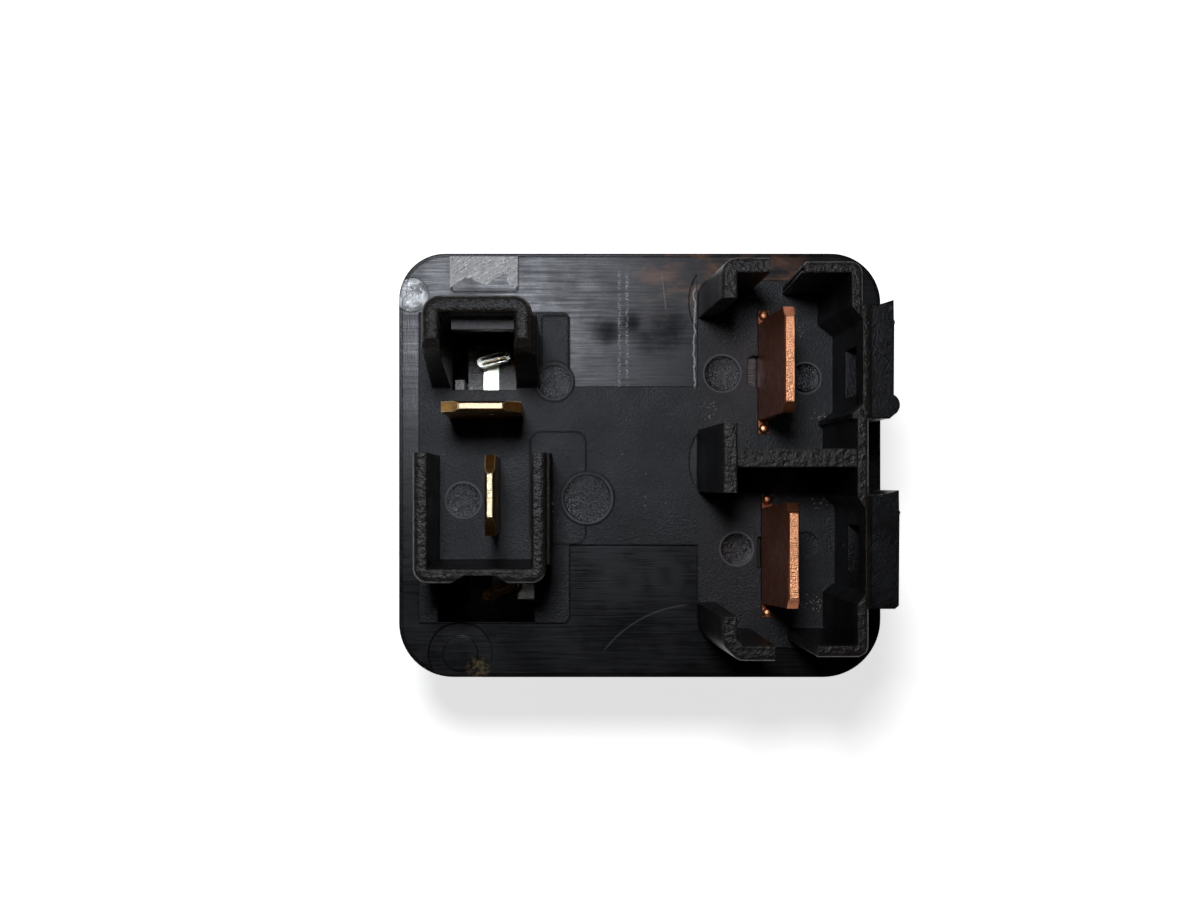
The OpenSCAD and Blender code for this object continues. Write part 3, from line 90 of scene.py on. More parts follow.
plate_t = 2.02
pad_t = 0.3
flange_out = 0.25
clear_of_root = 5
plate_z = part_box("cover")[1].z / MM + plate_t
pad_z = plate_z + pad_t
half_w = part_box("cover")[1].x / MM + flange_out
half_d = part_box("cover")[1].y / MM + flange_out
cross = above("coil_terminal_upper", plate_z + clear_of_root)
upright = above("coil_terminal_lower", plate_z + clear_of_root)
load_up = above("load_terminal_upper", plate_z + clear_of_root)
load_low = above("load_terminal_lower", plate_z + clear_of_root)
coil_x = (upright[0][0] + upright[1][0]) / 2
load_x = (load_up[0][0] + load_up[1][0]) / 2
low_x = (load_low[0][0] + load_low[1][0]) / 2
rim_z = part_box("connector_base")[1].z / MM
print("plate face", round(plate_z, 2), "coil blade x", round(coil_x, 2))
print("load blades x", round(load_x, 2), round(low_x, 2))
print("half width", round(half_w, 2), "half depth", round(half_d, 2), "highest rim", round(rim_z, 2))

# %% [markdown]
# The camera looks straight down on the plate from about twelve centimetres
# over it, so the walls and blades lean outwards from a point beside the coil
# plug. A small shift frames the whole case without tilting the view.

# %% Camera
eye = Vector((coil_x + 3.88, -1.68, plate_z + 121.0))
lens = bpy.data.cameras.new("camera")
lens.sensor_width = 36.0
lens.lens = 42.1
lens.shift_x = 0.05
lens.shift_y = 0.029
lens.clip_start = 0.005
lens.clip_end = 20.0
camera = bpy.data.objects.new("camera", lens)
camera.location = eye * MM
bpy.context.scene.collection.objects.link(camera)
bpy.context.scene.camera = camera
bpy.context.scene.view_settings.view_transform = "Standard"
print("camera at", [round(v / MM, 1) for v in camera.location], "mm")

# %% [markdown]
# One soft lamp stands high beside the coil plug, about half as wide as the
# relay, so the shrouds throw clear shadows away from it. A wide weak lamp and
# the world fill the rest.

# %% Lamps
def lamp(name, place, width, power, colour=(1, 1, 1)):
    """A round area lamp at a place in millimetres, turned to the middle of the plate."""
    data = bpy.data.lights.new(name, "AREA")
    data.shape = "DISK"
    data.size = width * MM
    data.energy = power
    data.color = colour
    o = bpy.data.objects.new(name, data)
    o.location = Vector(place) * MM
    o.rotation_euler = (Vector((0, 0, plate_z)) - Vector(place)).to_track_quat("-Z", "Y").to_euler()
    bpy.context.scene.collection.objects.link(o)


lamp("key_lamp", (-15.9, 30.2, plate_z + 133), width=24, power=0.17, colour=(0.97, 0.98, 1.0))
lamp("side_lamp", (-190, 60, plate_z + 150), width=120, power=0.012)

# %% [markdown]
# The room is grey near the horizon and dark overhead, like a studio with a
# dark ceiling. The camera, gloss and glass see that room, and everything else
# gets a plain weak fill from it.

# %% World
world = bpy.data.worlds.new("studio")
bpy.context.scene.world = world
world.use_nodes = True
wt = world.node_tree
wt.nodes.clear()
w_out = wt.nodes.new("ShaderNodeOutputWorld")
w_bg = wt.nodes.new("ShaderNodeBackground")
w_path = wt.nodes.new("ShaderNodeLightPath")
w_dir = wt.nodes.new("ShaderNodeTexCoord")
w_cut = wt.nodes.new("ShaderNodeSeparateXYZ")
w_up = wt.nodes.new("ShaderNodeMapRange")
w_up.interpolation_type = "SMOOTHSTEP"
for key, value in {"From Min": 0.1, "From Max": 0.6, "To Min": 0.22, "To Max": 0.012}.items():
    w_up.inputs[key].default_value = value
w_see = wt.nodes.new("ShaderNodeMath")
w_see.operation = "MAXIMUM"
w_any = wt.nodes.new("ShaderNodeMath")
w_any.operation = "MAXIMUM"
w_mix = wt.nodes.new("ShaderNodeMix")
fill = 0.02
w_mix.inputs[2].default_value = fill
for a, b in (
    (w_dir.outputs["Generated"], w_cut.inputs[0]), (w_cut.outputs[2], w_up.inputs[0]),
    (w_path.outputs["Is Camera Ray"], w_see.inputs[0]), (w_path.outputs["Is Glossy Ray"], w_see.inputs[1]),
    (w_see.outputs[0], w_any.inputs[0]), (w_path.outputs["Is Transmission Ray"], w_any.inputs[1]),
    (w_any.outputs[0], w_mix.inputs[0]), (w_up.outputs[0], w_mix.inputs[3]),
    (w_mix.outputs[0], w_bg.inputs["Strength"]), (w_bg.outputs[0], w_out.inputs[0]),
):
    wt.links.new(a, b)
print("world: fill", fill)

# %% [markdown]
# A finish is written as a small shader tree. This helper keeps each line of
# it short: every call adds one node and hands back what comes out of it. All
# places are in millimetres in the relay's own frame, so a scratch stays where
# it is when the camera moves.

# %% A helper that writes finishes
class Finish:
    """A material in the making: its Principled shader, and the place in millimetres to paint by."""

    def __init__(self, name, **skin):
        self.material = bpy.data.materials.new(name)
        self.material.use_nodes = True
        self.tree = self.material.node_tree
        self.tree.nodes.clear()
        self.out = self.add("ShaderNodeOutputMaterial")
        self.skin = self.add("ShaderNodeBsdfPrincipled")
        self.tree.links.new(self.skin.outputs[0], self.out.inputs[0])
        for key, value in skin.items():
            self.skin.inputs[key.replace("_", " ")].default_value = value
        spot = self.add("ShaderNodeTexCoord").outputs["Object"]
        self.place = self.add("ShaderNodeMapping", {"Vector": spot, "Scale": (1 / MM,) * 3}).outputs[0]
        cut = self.add("ShaderNodeSeparateXYZ", {0: self.place})
        self.x, self.y, self.z = cut.outputs

    def add(self, kind, inputs=None, **settings):
        node = self.tree.nodes.new(kind)
        for key, value in settings.items():
            setattr(node, key, value)
        for key, value in (inputs or {}).items():
            self.feed(node.inputs[key], value)
        return node

    def feed(self, socket, value):
        if isinstance(value, bpy.types.NodeSocket):
            self.tree.links.new(value, socket)
        else:
            socket.default_value = value

    def calc(self, step, a, b=0.0, c=0.0, clamp=False):
        return self.add("ShaderNodeMath", {0: a, 1: b, 2: c}, operation=step, use_clamp=clamp).outputs[0]

    def fade(self, value, low, high, start=0.0, end=1.0):
        """Goes smoothly from start to end while value goes from low to high."""
        inputs = {"Value": value, "From Min": low, "From Max": high, "To Min": start, "To Max": end}
        return self.add("ShaderNodeMapRange", inputs, interpolation_type="SMOOTHSTEP").outputs[0]

    def laid(self, size, stretch=(1, 1, 1), turn=0.0, seed=0.0):
        """Coordinates for a pattern whose lumps are size millimetres, longer where stretched."""
        inputs = {
            "Vector": self.place, "Location": (seed, seed, seed),
            "Rotation": (0, 0, math.radians(turn)), "Scale": [size * s for s in stretch],
        }
        return self.add("ShaderNodeMapping", inputs, vector_type="TEXTURE").outputs[0]

    def noise(self, size, stretch=(1, 1, 1), turn=0.0, seed=0.0, detail=3.0, rough=0.5, bend=0.0):
        inputs = {
            "Vector": self.laid(size, stretch, turn, seed), "Scale": 1.0,
            "Detail": detail, "Roughness": rough, "Distortion": bend,
        }
        return self.add("ShaderNodeTexNoise", inputs).outputs[0]

    def cells(self, size, seed=0.0):
        inputs = {"Vector": self.laid(size, seed=seed), "Scale": 1.0}
        return self.add("ShaderNodeTexVoronoi", inputs, feature="SMOOTH_F1").outputs["Distance"]

    def tint(self, share, a, b):
        """Colour a where share is 0 and b where it is 1."""
        return self.add("ShaderNodeMix", {0: share, 6: a, 7: b}, data_type="RGBA").outputs[2]

    def paint(self, under, tone, share, much=None):
        """Lays a tone over a colour where share is 1, as strongly as much says."""
        if much is not None:
            share = self.calc("MULTIPLY", share, much)
        return self.tint(share, under, tone)

    def mixed(self, share, a, b):
        """Number a where share is 0 and b where it is 1."""
        return self.add("ShaderNodeMix", {0: share, 2: a, 3: b}).outputs[0]

    def total(self, *terms):
        """Sum of height fields, each given with its depth in millimetres."""
        out = 0.0
        for field, depth in terms:
            out = self.calc("MULTIPLY_ADD", field, depth, out)
        return out

    def within(self, value, low, high, soft=0.1):
        """1 between low and high, fading over soft."""
        rise = self.fade(value, low - soft, low)
        return self.calc("MULTIPLY", rise, self.fade(value, high, high + soft, 1.0, 0.0))

    def away(self, x, y):
        """Distance on the plate from a point."""
        dx = self.calc("SUBTRACT", self.x, x)
        dy = self.calc("SUBTRACT", self.y, y)
        return self.calc("SQRT", self.calc("MULTIPLY_ADD", dx, dx, self.calc("MULTIPLY", dy, dy)))

    def disc(self, x, y, r, soft=0.05):
        """1 inside a circle on the plate."""
        return self.fade(self.away(x, y), r - soft, r + soft, 1.0, 0.0)

    def stroke(self, value, middle, half, soft=0.05):
        """1 where value lies near middle: a line across the pattern."""
        off = self.calc("ABSOLUTE", self.calc("SUBTRACT", value, middle))
        return self.fade(off, half, half + soft, 1.0, 0.0)

    def all(self, *shares):
        """Product of several shares."""
        out = shares[0]
        for s in shares[1:]:
            out = self.calc("MULTIPLY", out, s)
        return out

    def most(self, *shares):
        """Largest of several shares."""
        out = shares[0]
        for s in shares[1:]:
            out = self.calc("MAXIMUM", out, s)
        return out

    def edges(self, radius):
        """The normal with its edges rounded, and a share that is 1 on edges."""
        soft = self.add("ShaderNodeBevel", {"Radius": radius * MM}, samples=4).outputs[0]
        flat = self.add("ShaderNodeNewGeometry").outputs["Normal"]
        same = self.add("ShaderNodeVectorMath", {0: soft, 1: flat}, operation="DOT_PRODUCT").outputs["Value"]
        return soft, self.fade(same, 0.99, 0.8)

    def relief(self, height, normal=None):
        """Bumps of a height given in millimetres."""
        inputs = {"Height": height, "Distance": MM, "Strength": 1.0}
        if normal is not None:
            inputs["Normal"] = normal
        return self.add("ShaderNodeBump", inputs).outputs[0]

    def wear(self, colour=None, roughness=None, normal=None, **more):
        """Joins what was made to the shader, and hands back the material."""
        made = {"Base Color": colour, "Roughness": roughness, "Normal": normal, **more}
        for key, value in made.items():
            if value is not None:
                self.feed(self.skin.inputs[key], value)
        return self.material


finishes = {}
print("finish helper ready")

# %% [markdown]
# The floor is pale and matt and keeps the relay's shadow. Away from the relay
# it is lifted to plain white, for the camera and for what gloss reflects.

# %% Floor
near_lift = 0.72
floor_half = 3.0


def floor_finish():
    f = Finish("floor_white", Roughness=0.9)
    near = f.disc(0, 0, 150, 110)
    path = f.add("ShaderNodeLightPath").outputs
    seen = f.most(path["Is Camera Ray"], path["Is Glossy Ray"], path["Is Transmission Ray"])
    lift = f.calc("MULTIPLY", seen, f.mixed(near, 1.0, near_lift))
    grain = f.noise(0.6, detail=2)
    f.feed(f.skin.inputs["Emission Color"], (1, 1, 1, 1))
    return f.wear(
        colour=f.tint(grain, (0.84, 0.84, 0.84, 1), (0.88, 0.88, 0.88, 1)),
        **{"Emission Strength": lift},
    )


floor_mesh = bpy.data.meshes.new("floor")
shape = bmesh.new()
bmesh.ops.create_grid(shape, x_segments=8, y_segments=8, size=floor_half)
shape.to_mesh(floor_mesh)
shape.free()
floor_mesh.materials.append(floor_finish())
floor = bpy.data.objects.new("floor", floor_mesh)
bpy.context.scene.collection.objects.link(floor)
floor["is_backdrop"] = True
print("floor:", len(floor_mesh.polygons), "faces")

# %% [markdown]
# The base is one moulding in dark charcoal plastic, but its skin differs from
# place to place. The platform has the fine grain of a spark-eroded mould, the
# bands beside it were milled and show long scratches, and the walls are
# lumpier, browner and worn at their rims. One way is to cut the mesh up by
# finish. Here shares do it instead, each 1 on its own skin and 0 elsewhere,
# because the moulding stays one piece and the skins can run into each other.

# %% Where the skins of the base lie
side_edge = 1.45 - half_w
latch_edge = load_x + 5.7
# x, y and radius of what the mould's pins left, and of a glossy corner whose near-white highlight is painted
# into its colour
pin_marks = [
    (coil_x + 7.95, -2.83, 2.1), (coil_x + 5.1, 7.2, 1.5), (coil_x - 2.7, -3.0, 1.5),
    (load_x - 3.55, 7.9, 1.55), (load_x + 3.6, 7.5, 1.3), (load_x - 2.3, -7.2, 1.4),
]
glossy_lit_corner = (1.1 - half_w, half_d - 3.6, 1.45)


def pin_lip(f, x, y, r):
    """The raised lip round a pin mark, where a highlight is painted."""
    return f.stroke(f.away(x, y), r + 0.03, 0.04, 0.08)


def base_places(f):
    """Shares that are each 1 on one skin or kind of mark."""
    wall = f.fade(f.z, pad_z + 0.2, pad_z + 0.7)
    low = f.calc("SUBTRACT", 1.0, wall)
    pad = f.all(f.within(f.z, plate_z + 0.12, pad_z + 0.4, 0.1), low)
    latch = f.fade(f.x, latch_edge, latch_edge + 0.6)
    return SimpleNamespace(
        wall=wall, low=low, pad=pad, latch=latch,
        band=f.calc("SUBTRACT", 1.0, f.calc("ADD", pad, wall, clamp=True)),
        side=f.fade(f.x, side_edge, side_edge + 0.2, 1.0, 0.0),
        rim=f.all(f.fade(f.z, rim_z - 2.4, rim_z - 0.9), f.calc("SUBTRACT", 1.0, latch)),
        pin=f.all(f.most(*[f.disc(*mark) for mark in pin_marks]), low),
        lip_glints=f.all(f.most(*[pin_lip(f, *mark) for mark in pin_marks]), low),
        glossy_and_lit=f.all(f.disc(*glossy_lit_corner), low),
    )


print("pin marks:", len(pin_marks), "side strip ends at", round(side_edge, 2), "mm")

# %% [markdown]
# Relief, colour and gloss share the same few noises, so that a hollow is also
# where the tone changes. The mill's lines are a noise stretched thirty times
# along x, and on the side strip another one runs the other way.

# %% Patterns and relief of the base
def base_patterns(f):
    """The noises of the base, each with the size of its lumps in millimetres."""
    return SimpleNamespace(
        grain=f.noise(0.15, detail=3, rough=0.65, seed=3),
        lumps=f.noise(0.42, detail=3, rough=0.55, seed=21),
        milled=f.noise(0.16, stretch=(30, 1, 1), detail=4, rough=0.7, seed=11),
        upward=f.noise(0.12, stretch=(1, 9, 1), detail=3, rough=0.7, seed=17),
        hollow=f.noise(1.1, detail=3, bend=0.8, seed=33),
        cloud=f.noise(4.0, detail=4, rough=0.6, seed=40),
        streak=f.noise(0.22, stretch=(26, 1, 1), detail=4, rough=0.65, seed=52),
    )


def base_height(f, at, fine):
    """Height of the skins in millimetres, each with its own depth."""
    flow = f.mixed(at.side, fine.milled, fine.upward)
    return f.total(
        (f.all(fine.grain, f.most(at.pad, f.calc("MULTIPLY", at.wall, 0.6))), 0.050),
        (f.all(fine.lumps, at.rim), 0.13),
        (f.all(fine.lumps, at.wall), 0.018),
        (f.all(flow, at.band), 0.009),
        (f.all(fine.hollow, f.most(at.pin, at.glossy_and_lit)), 0.075),
    )


print("relief of the base: 5 layers")

# %% [markdown]
# What makes a moulding look used is the single marks on it: two rows of short
# scuffs, a brown stain, the ragged line where the mill turned, scratches, and
# the seams of the mould's inserts. Each is a share of its own with a plain
# name, written as a line, a circle or a band that a noise breaks up.

# %% Marks on the base
scuff_rows_x = (-1.78, -1.12)
seams_y = (11.95, 3.15)
bow_middle, bow_r = (4.95, -22.17), 10.16
slash_lean, slash_x = 0.115, 3.78


def scuffs(f, at):
    """Two rows of short scuffs across the milled band."""
    dash = f.noise(0.12, stretch=(1.6, 1, 1), detail=2, rough=0.7, seed=90)
    rows = f.most(*[f.stroke(f.x, x, 0.07, 0.10) for x in scuff_rows_x])
    return f.all(rows, f.within(f.y, 7.2, 16.2, 0.8), f.fade(dash, 0.48, 0.60), at.band)


def stain(f, at):
    """Brown stain towards the load cells."""
    blot = f.fade(f.noise(1.6, stretch=(2.4, 1, 1), detail=4, rough=0.6, seed=70), 0.40, 0.64)
    return f.all(f.within(f.x, 1.5, 12.0, 3.0), f.within(f.y, 14.4, 18.3, 1.8), at.band, blot)


def ragged_line(f, at):
    """Ragged bright line where the mill ran along the load platform."""
    wander = f.calc("MULTIPLY_ADD", f.noise(0.8, detail=3, seed=77), 0.7, load_x - 6.28)
    line = f.stroke(f.calc("SUBTRACT", f.x, wander), 0.0, 0.03, 0.08)
    return f.all(line, f.within(f.y, 7.0, 15.0, 0.5), at.low)


def scratches(f, at):
    """An old curved scratch, and a fresher straight one."""
    bow = f.stroke(f.away(*bow_middle), bow_r, 0.03, 0.08)
    bow = f.all(bow, f.within(f.x, -2.6, 3.6, 0.8), at.band)
    slash = f.stroke(f.calc("MULTIPLY_ADD", f.y, slash_lean, f.x), slash_x, 0.02, 0.06)
    slash = f.all(slash, f.within(f.y, 13.6, 16.2, 0.3), at.band)
    return f.most(f.calc("MULTIPLY", bow, 0.45), slash)


def seams(f, at):
    """Seams of the mould's inserts, across the side strip."""
    lines = f.most(*[f.stroke(f.y, y, 0.02, 0.05) for y in seams_y])
    return f.all(lines, at.side, at.low)


def lit_lock_ledge(f):
    """Ledge of the bump in the upper shroud that locks the plug, where the lamp's light is painted on as a
    pale tone.
    """
    level = f.within(f.z, plate_z + 10.2, plate_z + 11.2)
    return f.all(level, f.stroke(f.y, 10.95, 0.42, 0.08), f.stroke(f.x, coil_x - 0.96, 2.9, 0.1))


def painted_crater_glint(f, at, fine):
    """Painted yellow glint on the broken rim of the crater that the sprue left in the near corner."""
    near = f.disc(6.9 - half_w, 0.8 - half_d, 0.9, 0.5)
    return f.all(near, f.fade(fine.lumps, 0.42, 0.6), at.low)


print("marks: scuffs at x", scuff_rows_x, "seams at y", seams_y)

# %% [markdown]
# The plastic itself is nearly black, so its tones are very small numbers. The
# skins come first and the marks are laid over them one after another. Gloss is
# a number of its own: smudges are duller, pin marks and the latches glossier.

# %% Base plastic
tone = SimpleNamespace(
    jet=(0.0008, 0.0008, 0.0008, 1), soot=(0.0026, 0.0025, 0.0026, 1),
    rubbed=(0.0030, 0.0023, 0.0016, 1), browned=(0.0130, 0.0105, 0.0080, 1),
    grain=(0.020, 0.020, 0.0215, 1), streak=(0.030, 0.031, 0.036, 1),
    scuff=(0.20, 0.20, 0.22, 1), stain=(0.075, 0.033, 0.016, 1),
    ragged=(0.22, 0.22, 0.23, 1), scratch=(0.085, 0.087, 0.095, 1),
    lit_ledge_dark=(0.050, 0.050, 0.056, 1), lit_ledge_pale=(0.11, 0.11, 0.12, 1),
    glint_yellow=(0.055, 0.043, 0.018, 1), edge=(0.030, 0.026, 0.020, 1),
    lip=(0.10, 0.10, 0.11, 1), glossy_and_lit=(0.60, 0.63, 0.66, 1),
)
# x, y, radius and softness of the dull smudges on the milled bands
smudge_spots = [
    (-2.9, 11.6, 0.9, 0.9), (-0.6, 12.2, 0.7, 0.7), (2.2, 11.2, 2.2, 1.6),
    (-1.5, -9.9, 1.1, 1.2), (2.4, -9.5, 1.0, 1.0),
]


def base_colour(f, at, fine, edge):
    """Colour of the skins, and over it the marks in their tones and strengths."""
    colour = f.tint(fine.cloud, tone.jet, tone.soot)
    worn_rim = f.tint(f.noise(0.9, detail=3, seed=61), tone.rubbed, tone.browned)
    colour = f.paint(colour, worn_rim, at.rim, 0.8)
    colour = f.paint(colour, tone.grain, f.all(at.pad, f.fade(fine.grain, 0.5, 0.72, 0.0, 0.6)))
    colour = f.paint(colour, tone.streak, f.all(at.band, f.fade(fine.streak, 0.6, 0.85, 0.0, 0.5)))
    colour = f.paint(colour, tone.scuff, scuffs(f, at), 0.75)
    colour = f.paint(colour, tone.stain, stain(f, at))
    colour = f.paint(colour, tone.ragged, ragged_line(f, at), 0.85)
    colour = f.paint(colour, tone.scratch, scratches(f, at), 0.6)
    colour = f.paint(colour, tone.jet, seams(f, at), 0.9)
    # painted highlight: the lock ledge is painted pale where the lamp falls on it
    colour = f.paint(colour, f.tint(fine.lumps, tone.lit_ledge_dark, tone.lit_ledge_pale), lit_lock_ledge(f))
    # painted highlight: a yellow glint on the crater's broken rim
    colour = f.paint(colour, tone.glint_yellow, painted_crater_glint(f, at, fine))
    colour = f.paint(colour, tone.edge, f.all(edge, at.rim), 0.45)
    # painted highlight: bright outlines on the lips round the pin marks
    colour = f.paint(colour, tone.lip, at.lip_glints, 0.45)
    # painted highlight: the glossy corner's near-white tone stands for the lamp's reflection, broken up by
    # its hollows
    patchy = f.fade(fine.hollow, 0.38, 0.58, 0.9, 0.25)
    return f.paint(colour, tone.glossy_and_lit, f.all(at.glossy_and_lit, patchy))


def base_gloss(f, at, fine):
    """Roughness of each skin, changed by smudges, pin marks and streaks."""
    rough = f.mixed(at.pad, 0.305, 0.385)
    rough = f.mixed(at.wall, rough, f.mixed(at.latch, 0.36, 0.28))
    smudges = f.most(*[f.disc(*spot) for spot in smudge_spots])
    smudges = f.all(smudges, at.band, f.fade(fine.cloud, 0.3, 0.6, 0.6, 1.0))
    rough = f.calc("MULTIPLY_ADD", smudges, 0.30, rough)
    rough = f.mixed(f.most(at.pin, at.glossy_and_lit), rough, 0.21)
    rough = f.calc("ADD", rough, f.fade(fine.cloud, 0.3, 0.7, -0.04, 0.06))
    return f.calc("ADD", rough, f.all(at.band, f.fade(fine.streak, 0.3, 0.7, 0.07, -0.05)))


def base_finish():
    f = Finish("base_plastic", Specular_IOR_Level=0.17, Specular_Tint=(0.88, 0.91, 1.0, 1))
    soft, edge = f.edges(0.16)
    at = base_places(f)
    fine = base_patterns(f)
    return f.wear(
        colour=base_colour(f, at, fine, edge),
        roughness=base_gloss(f, at, fine),
        normal=f.relief(base_height(f, at, fine), soft),
    )


finishes["base_plastic"] = base_finish()
print("base plastic:", len(finishes["base_plastic"].node_tree.nodes), "shader nodes")

# %% [markdown]
# The cover is the same kind of plastic, moulded as a plain shell. It is a
# little paler, evenly grained, and rubbed along its height, as by a holder
# that it slides into.

# %% Cover plastic
def cover_finish():
    f = Finish("cover_plastic")
    soft, edge = f.edges(0.3)
    grain = f.cells(0.3, seed=2)
    swirl = f.noise(9.0, detail=3, seed=12)
    rub = f.noise(0.25, stretch=(1, 1, 40), detail=3, seed=19)
    colour = f.tint(swirl, (0.012, 0.012, 0.0135, 1), (0.022, 0.022, 0.025, 1))
    colour = f.paint(colour, (0.05, 0.05, 0.054, 1), f.fade(rub, 0.6, 0.8, 0.0, 0.4))
    colour = f.paint(colour, (0.055, 0.054, 0.052, 1), edge, 0.6)
    height = f.total((grain, 0.02), (f.noise(1.4, detail=3, seed=30), 0.02))
    rough = f.fade(swirl, 0.3, 0.7, 0.36, 0.5)
    return f.wear(colour=colour, roughness=rough, normal=f.relief(height, soft))


finishes["cover_plastic"] = cover_finish()
print("cover plastic ready")

# %% [markdown]
# The terminals are punched from strip. Their broad faces are rolled smooth and
# have tarnished, and their cut tips are bright, with the fine upright lines
# that the punch left.

# %% Brass and copper
def strip_finish(name, dull, bright, deep, tips, tinned=None):
    """Rolled and tarnished metal, bright where it was cut off at the heights in tips."""
    f = Finish(name, Metallic=1.0)
    soft, edge = f.edges(0.12)
    cut = f.most(*[f.within(f.z, t - 0.10, t + 0.3, 0.08) for t in tips])
    facing = f.add("ShaderNodeNewGeometry").outputs["Normal"]
    upwards = f.add("ShaderNodeSeparateXYZ", {0: facing}).outputs[2]
    cut = f.all(cut, f.fade(upwards, 0.5, 0.9))
    rolled = f.noise(0.12, stretch=(1, 1, 30), detail=4, rough=0.6, seed=4)
    spots = f.noise(1.1, detail=5, rough=0.65, seed=9)
    lines = f.noise(0.10, stretch=(7, 1, 7), detail=2, seed=17)
    pits = f.noise(0.14, detail=3, rough=0.6, seed=23)
    colour = f.tint(f.fade(spots, 0.35, 0.7), dull, deep)
    colour = f.paint(colour, bright, f.fade(rolled, 0.55, 0.85, 0.0, 0.4))
    # the roots stand in the plate's shadow and are dark, but their upset beads shine
    root = f.within(f.z, plate_z - 0.4, pad_z + 0.14, 0.05)
    colour = f.paint(colour, tuple(0.25 * c for c in deep[:3]) + (1,), root, 0.85)
    bead = f.within(f.z, pad_z + 0.2, pad_z + 0.5, 0.05)
    shiny = f.most(f.calc("MULTIPLY", edge, 0.6), cut, f.calc("MULTIPLY", bead, 0.6))
    colour = f.paint(colour, bright, shiny)
    if tinned:
        colour = f.paint(colour, tinned, f.fade(f.z, plate_z - 0.9, plate_z - 0.6, 1.0, 0.0))
    rough = f.mixed(cut, f.fade(spots, 0.3, 0.7, 0.30, 0.46), 0.40)
    height = f.total((rolled, 0.006), (f.all(pits, cut), 0.075), (f.all(lines, cut), 0.08))
    return f.wear(colour=colour, roughness=rough, normal=f.relief(height, soft))


finishes["terminal_brass"] = strip_finish(
    "terminal_brass",
    dull=(0.36, 0.20, 0.055, 1), bright=(0.92, 0.78, 0.52, 1), deep=(0.16, 0.08, 0.022, 1),
    tips=(cross[1][2], upright[1][2]), tinned=(0.50, 0.55, 0.50, 1),
)
finishes["terminal_copper"] = strip_finish(
    "terminal_copper",
    dull=(0.52, 0.19, 0.10, 1), bright=(0.66, 0.31, 0.17, 1), deep=(0.30, 0.095, 0.045, 1),
    tips=(load_up[1][2], load_low[1][2]),
)
print("metal strip finishes ready")

# %% [markdown]
# The parts inside the case need simple, honest finishes: tinned solder, plated
# iron, natural moulded nylon, varnished wire, bronze and silver.

# %% Finishes of the parts inside
def plain_finish(name, low, high, rough, metallic=0.0, lump=0.5, depth=0.02):
    """A finish with two tones, fine relief and brighter edges."""
    f = Finish(name, Metallic=metallic)
    soft, edge = f.edges(0.08)
    patches = f.noise(lump, detail=4, rough=0.6, seed=6)
    wide = f.noise(lump * 6, detail=2, seed=16)
    rubbed = tuple(min(1, c * 1.5 + 0.02) for c in high)
    colour = f.tint(f.fade(patches, 0.3, 0.7), low + (1,), high + (1,))
    colour = f.paint(colour, rubbed + (1,), edge, 0.4)
    height = f.total((patches, depth), (f.noise(lump * 0.3, detail=2, seed=26), depth * 0.4))
    gloss = f.fade(wide, 0.3, 0.7, rough - 0.06, rough + 0.08)
    return f.wear(colour=colour, roughness=gloss, normal=f.relief(height, soft))


# name, dark and light tone, roughness, metallic, size of the patches, depth of the relief
for args in (
    ("solder", (0.52, 0.56, 0.53), (0.84, 0.90, 0.86), 0.30, 1.0, 0.45, 0.06),
    ("solder_copper", (0.42, 0.19, 0.08), (0.75, 0.38, 0.17), 0.42, 1.0, 0.4, 0.05),
    ("bobbin_plastic", (0.030, 0.032, 0.038), (0.075, 0.078, 0.088), 0.34, 0.0, 0.5, 0.12),
    ("plated_iron", (0.42, 0.41, 0.37), (0.60, 0.59, 0.54), 0.33, 1.0, 0.6, 0.01),
    ("spring_bronze", (0.50, 0.29, 0.14), (0.72, 0.46, 0.24), 0.30, 1.0, 0.5, 0.008),
    ("contact_silver", (0.62, 0.61, 0.59), (0.86, 0.85, 0.83), 0.28, 1.0, 0.5, 0.01),
    ("spring_steel", (0.34, 0.35, 0.36), (0.55, 0.56, 0.58), 0.30, 1.0, 0.5, 0.005),
    ("enamelled_wire", (0.30, 0.10, 0.035), (0.48, 0.19, 0.07), 0.26, 0.75, 0.4, 0.01),
    ("resistor_body", (0.16, 0.20, 0.14), (0.23, 0.27, 0.19), 0.40, 0.0, 0.5, 0.01),
):
    finishes[args[0]] = plain_finish(*args)
print("finishes:", sorted(finishes))

# %% [markdown]
# Every solid of the CAD model keeps its mesh and only gets a finish, put into
# its own material slot by the node's name.

# %% Dress the CAD nodes
worn = {
    "connector_base": "base_plastic", "cover": "cover_plastic",
    "coil_terminal_upper": "terminal_brass", "coil_terminal_lower": "terminal_brass",
    "load_terminal_upper": "terminal_copper", "load_terminal_lower": "terminal_copper",
    "solder_joint_upper": "solder", "solder_joint_lower": "solder_copper",
    "bobbin": "bobbin_plastic", "coil_winding": "enamelled_wire",
    "core": "plated_iron", "yoke": "plated_iron", "armature": "plated_iron",
    "contact_spring": "spring_bronze", "contact_rivets": "terminal_brass",
    "moving_contact": "contact_silver", "fixed_contact": "contact_silver",
    "braid": "terminal_copper", "return_spring": "spring_steel",
    "coil_lead_upper": "enamelled_wire", "coil_lead_lower": "enamelled_wire",
    "resistor": "resistor_body", "resistor_leads": "solder",
}
for name, finish in worn.items():
    mesh = nodes[name].data
    mesh.materials.clear()
    mesh.materials.append(finishes[finish])
print("dressed", len(worn), "nodes")

# %% [markdown]
# A thin skin of plastic was torn off the plate beside the upper shroud. What is left of it is scratched
# aslant and ends in a ragged tear. Its pale colour and the bright streaks along the scratches are a painted
# highlight of the key lamp.

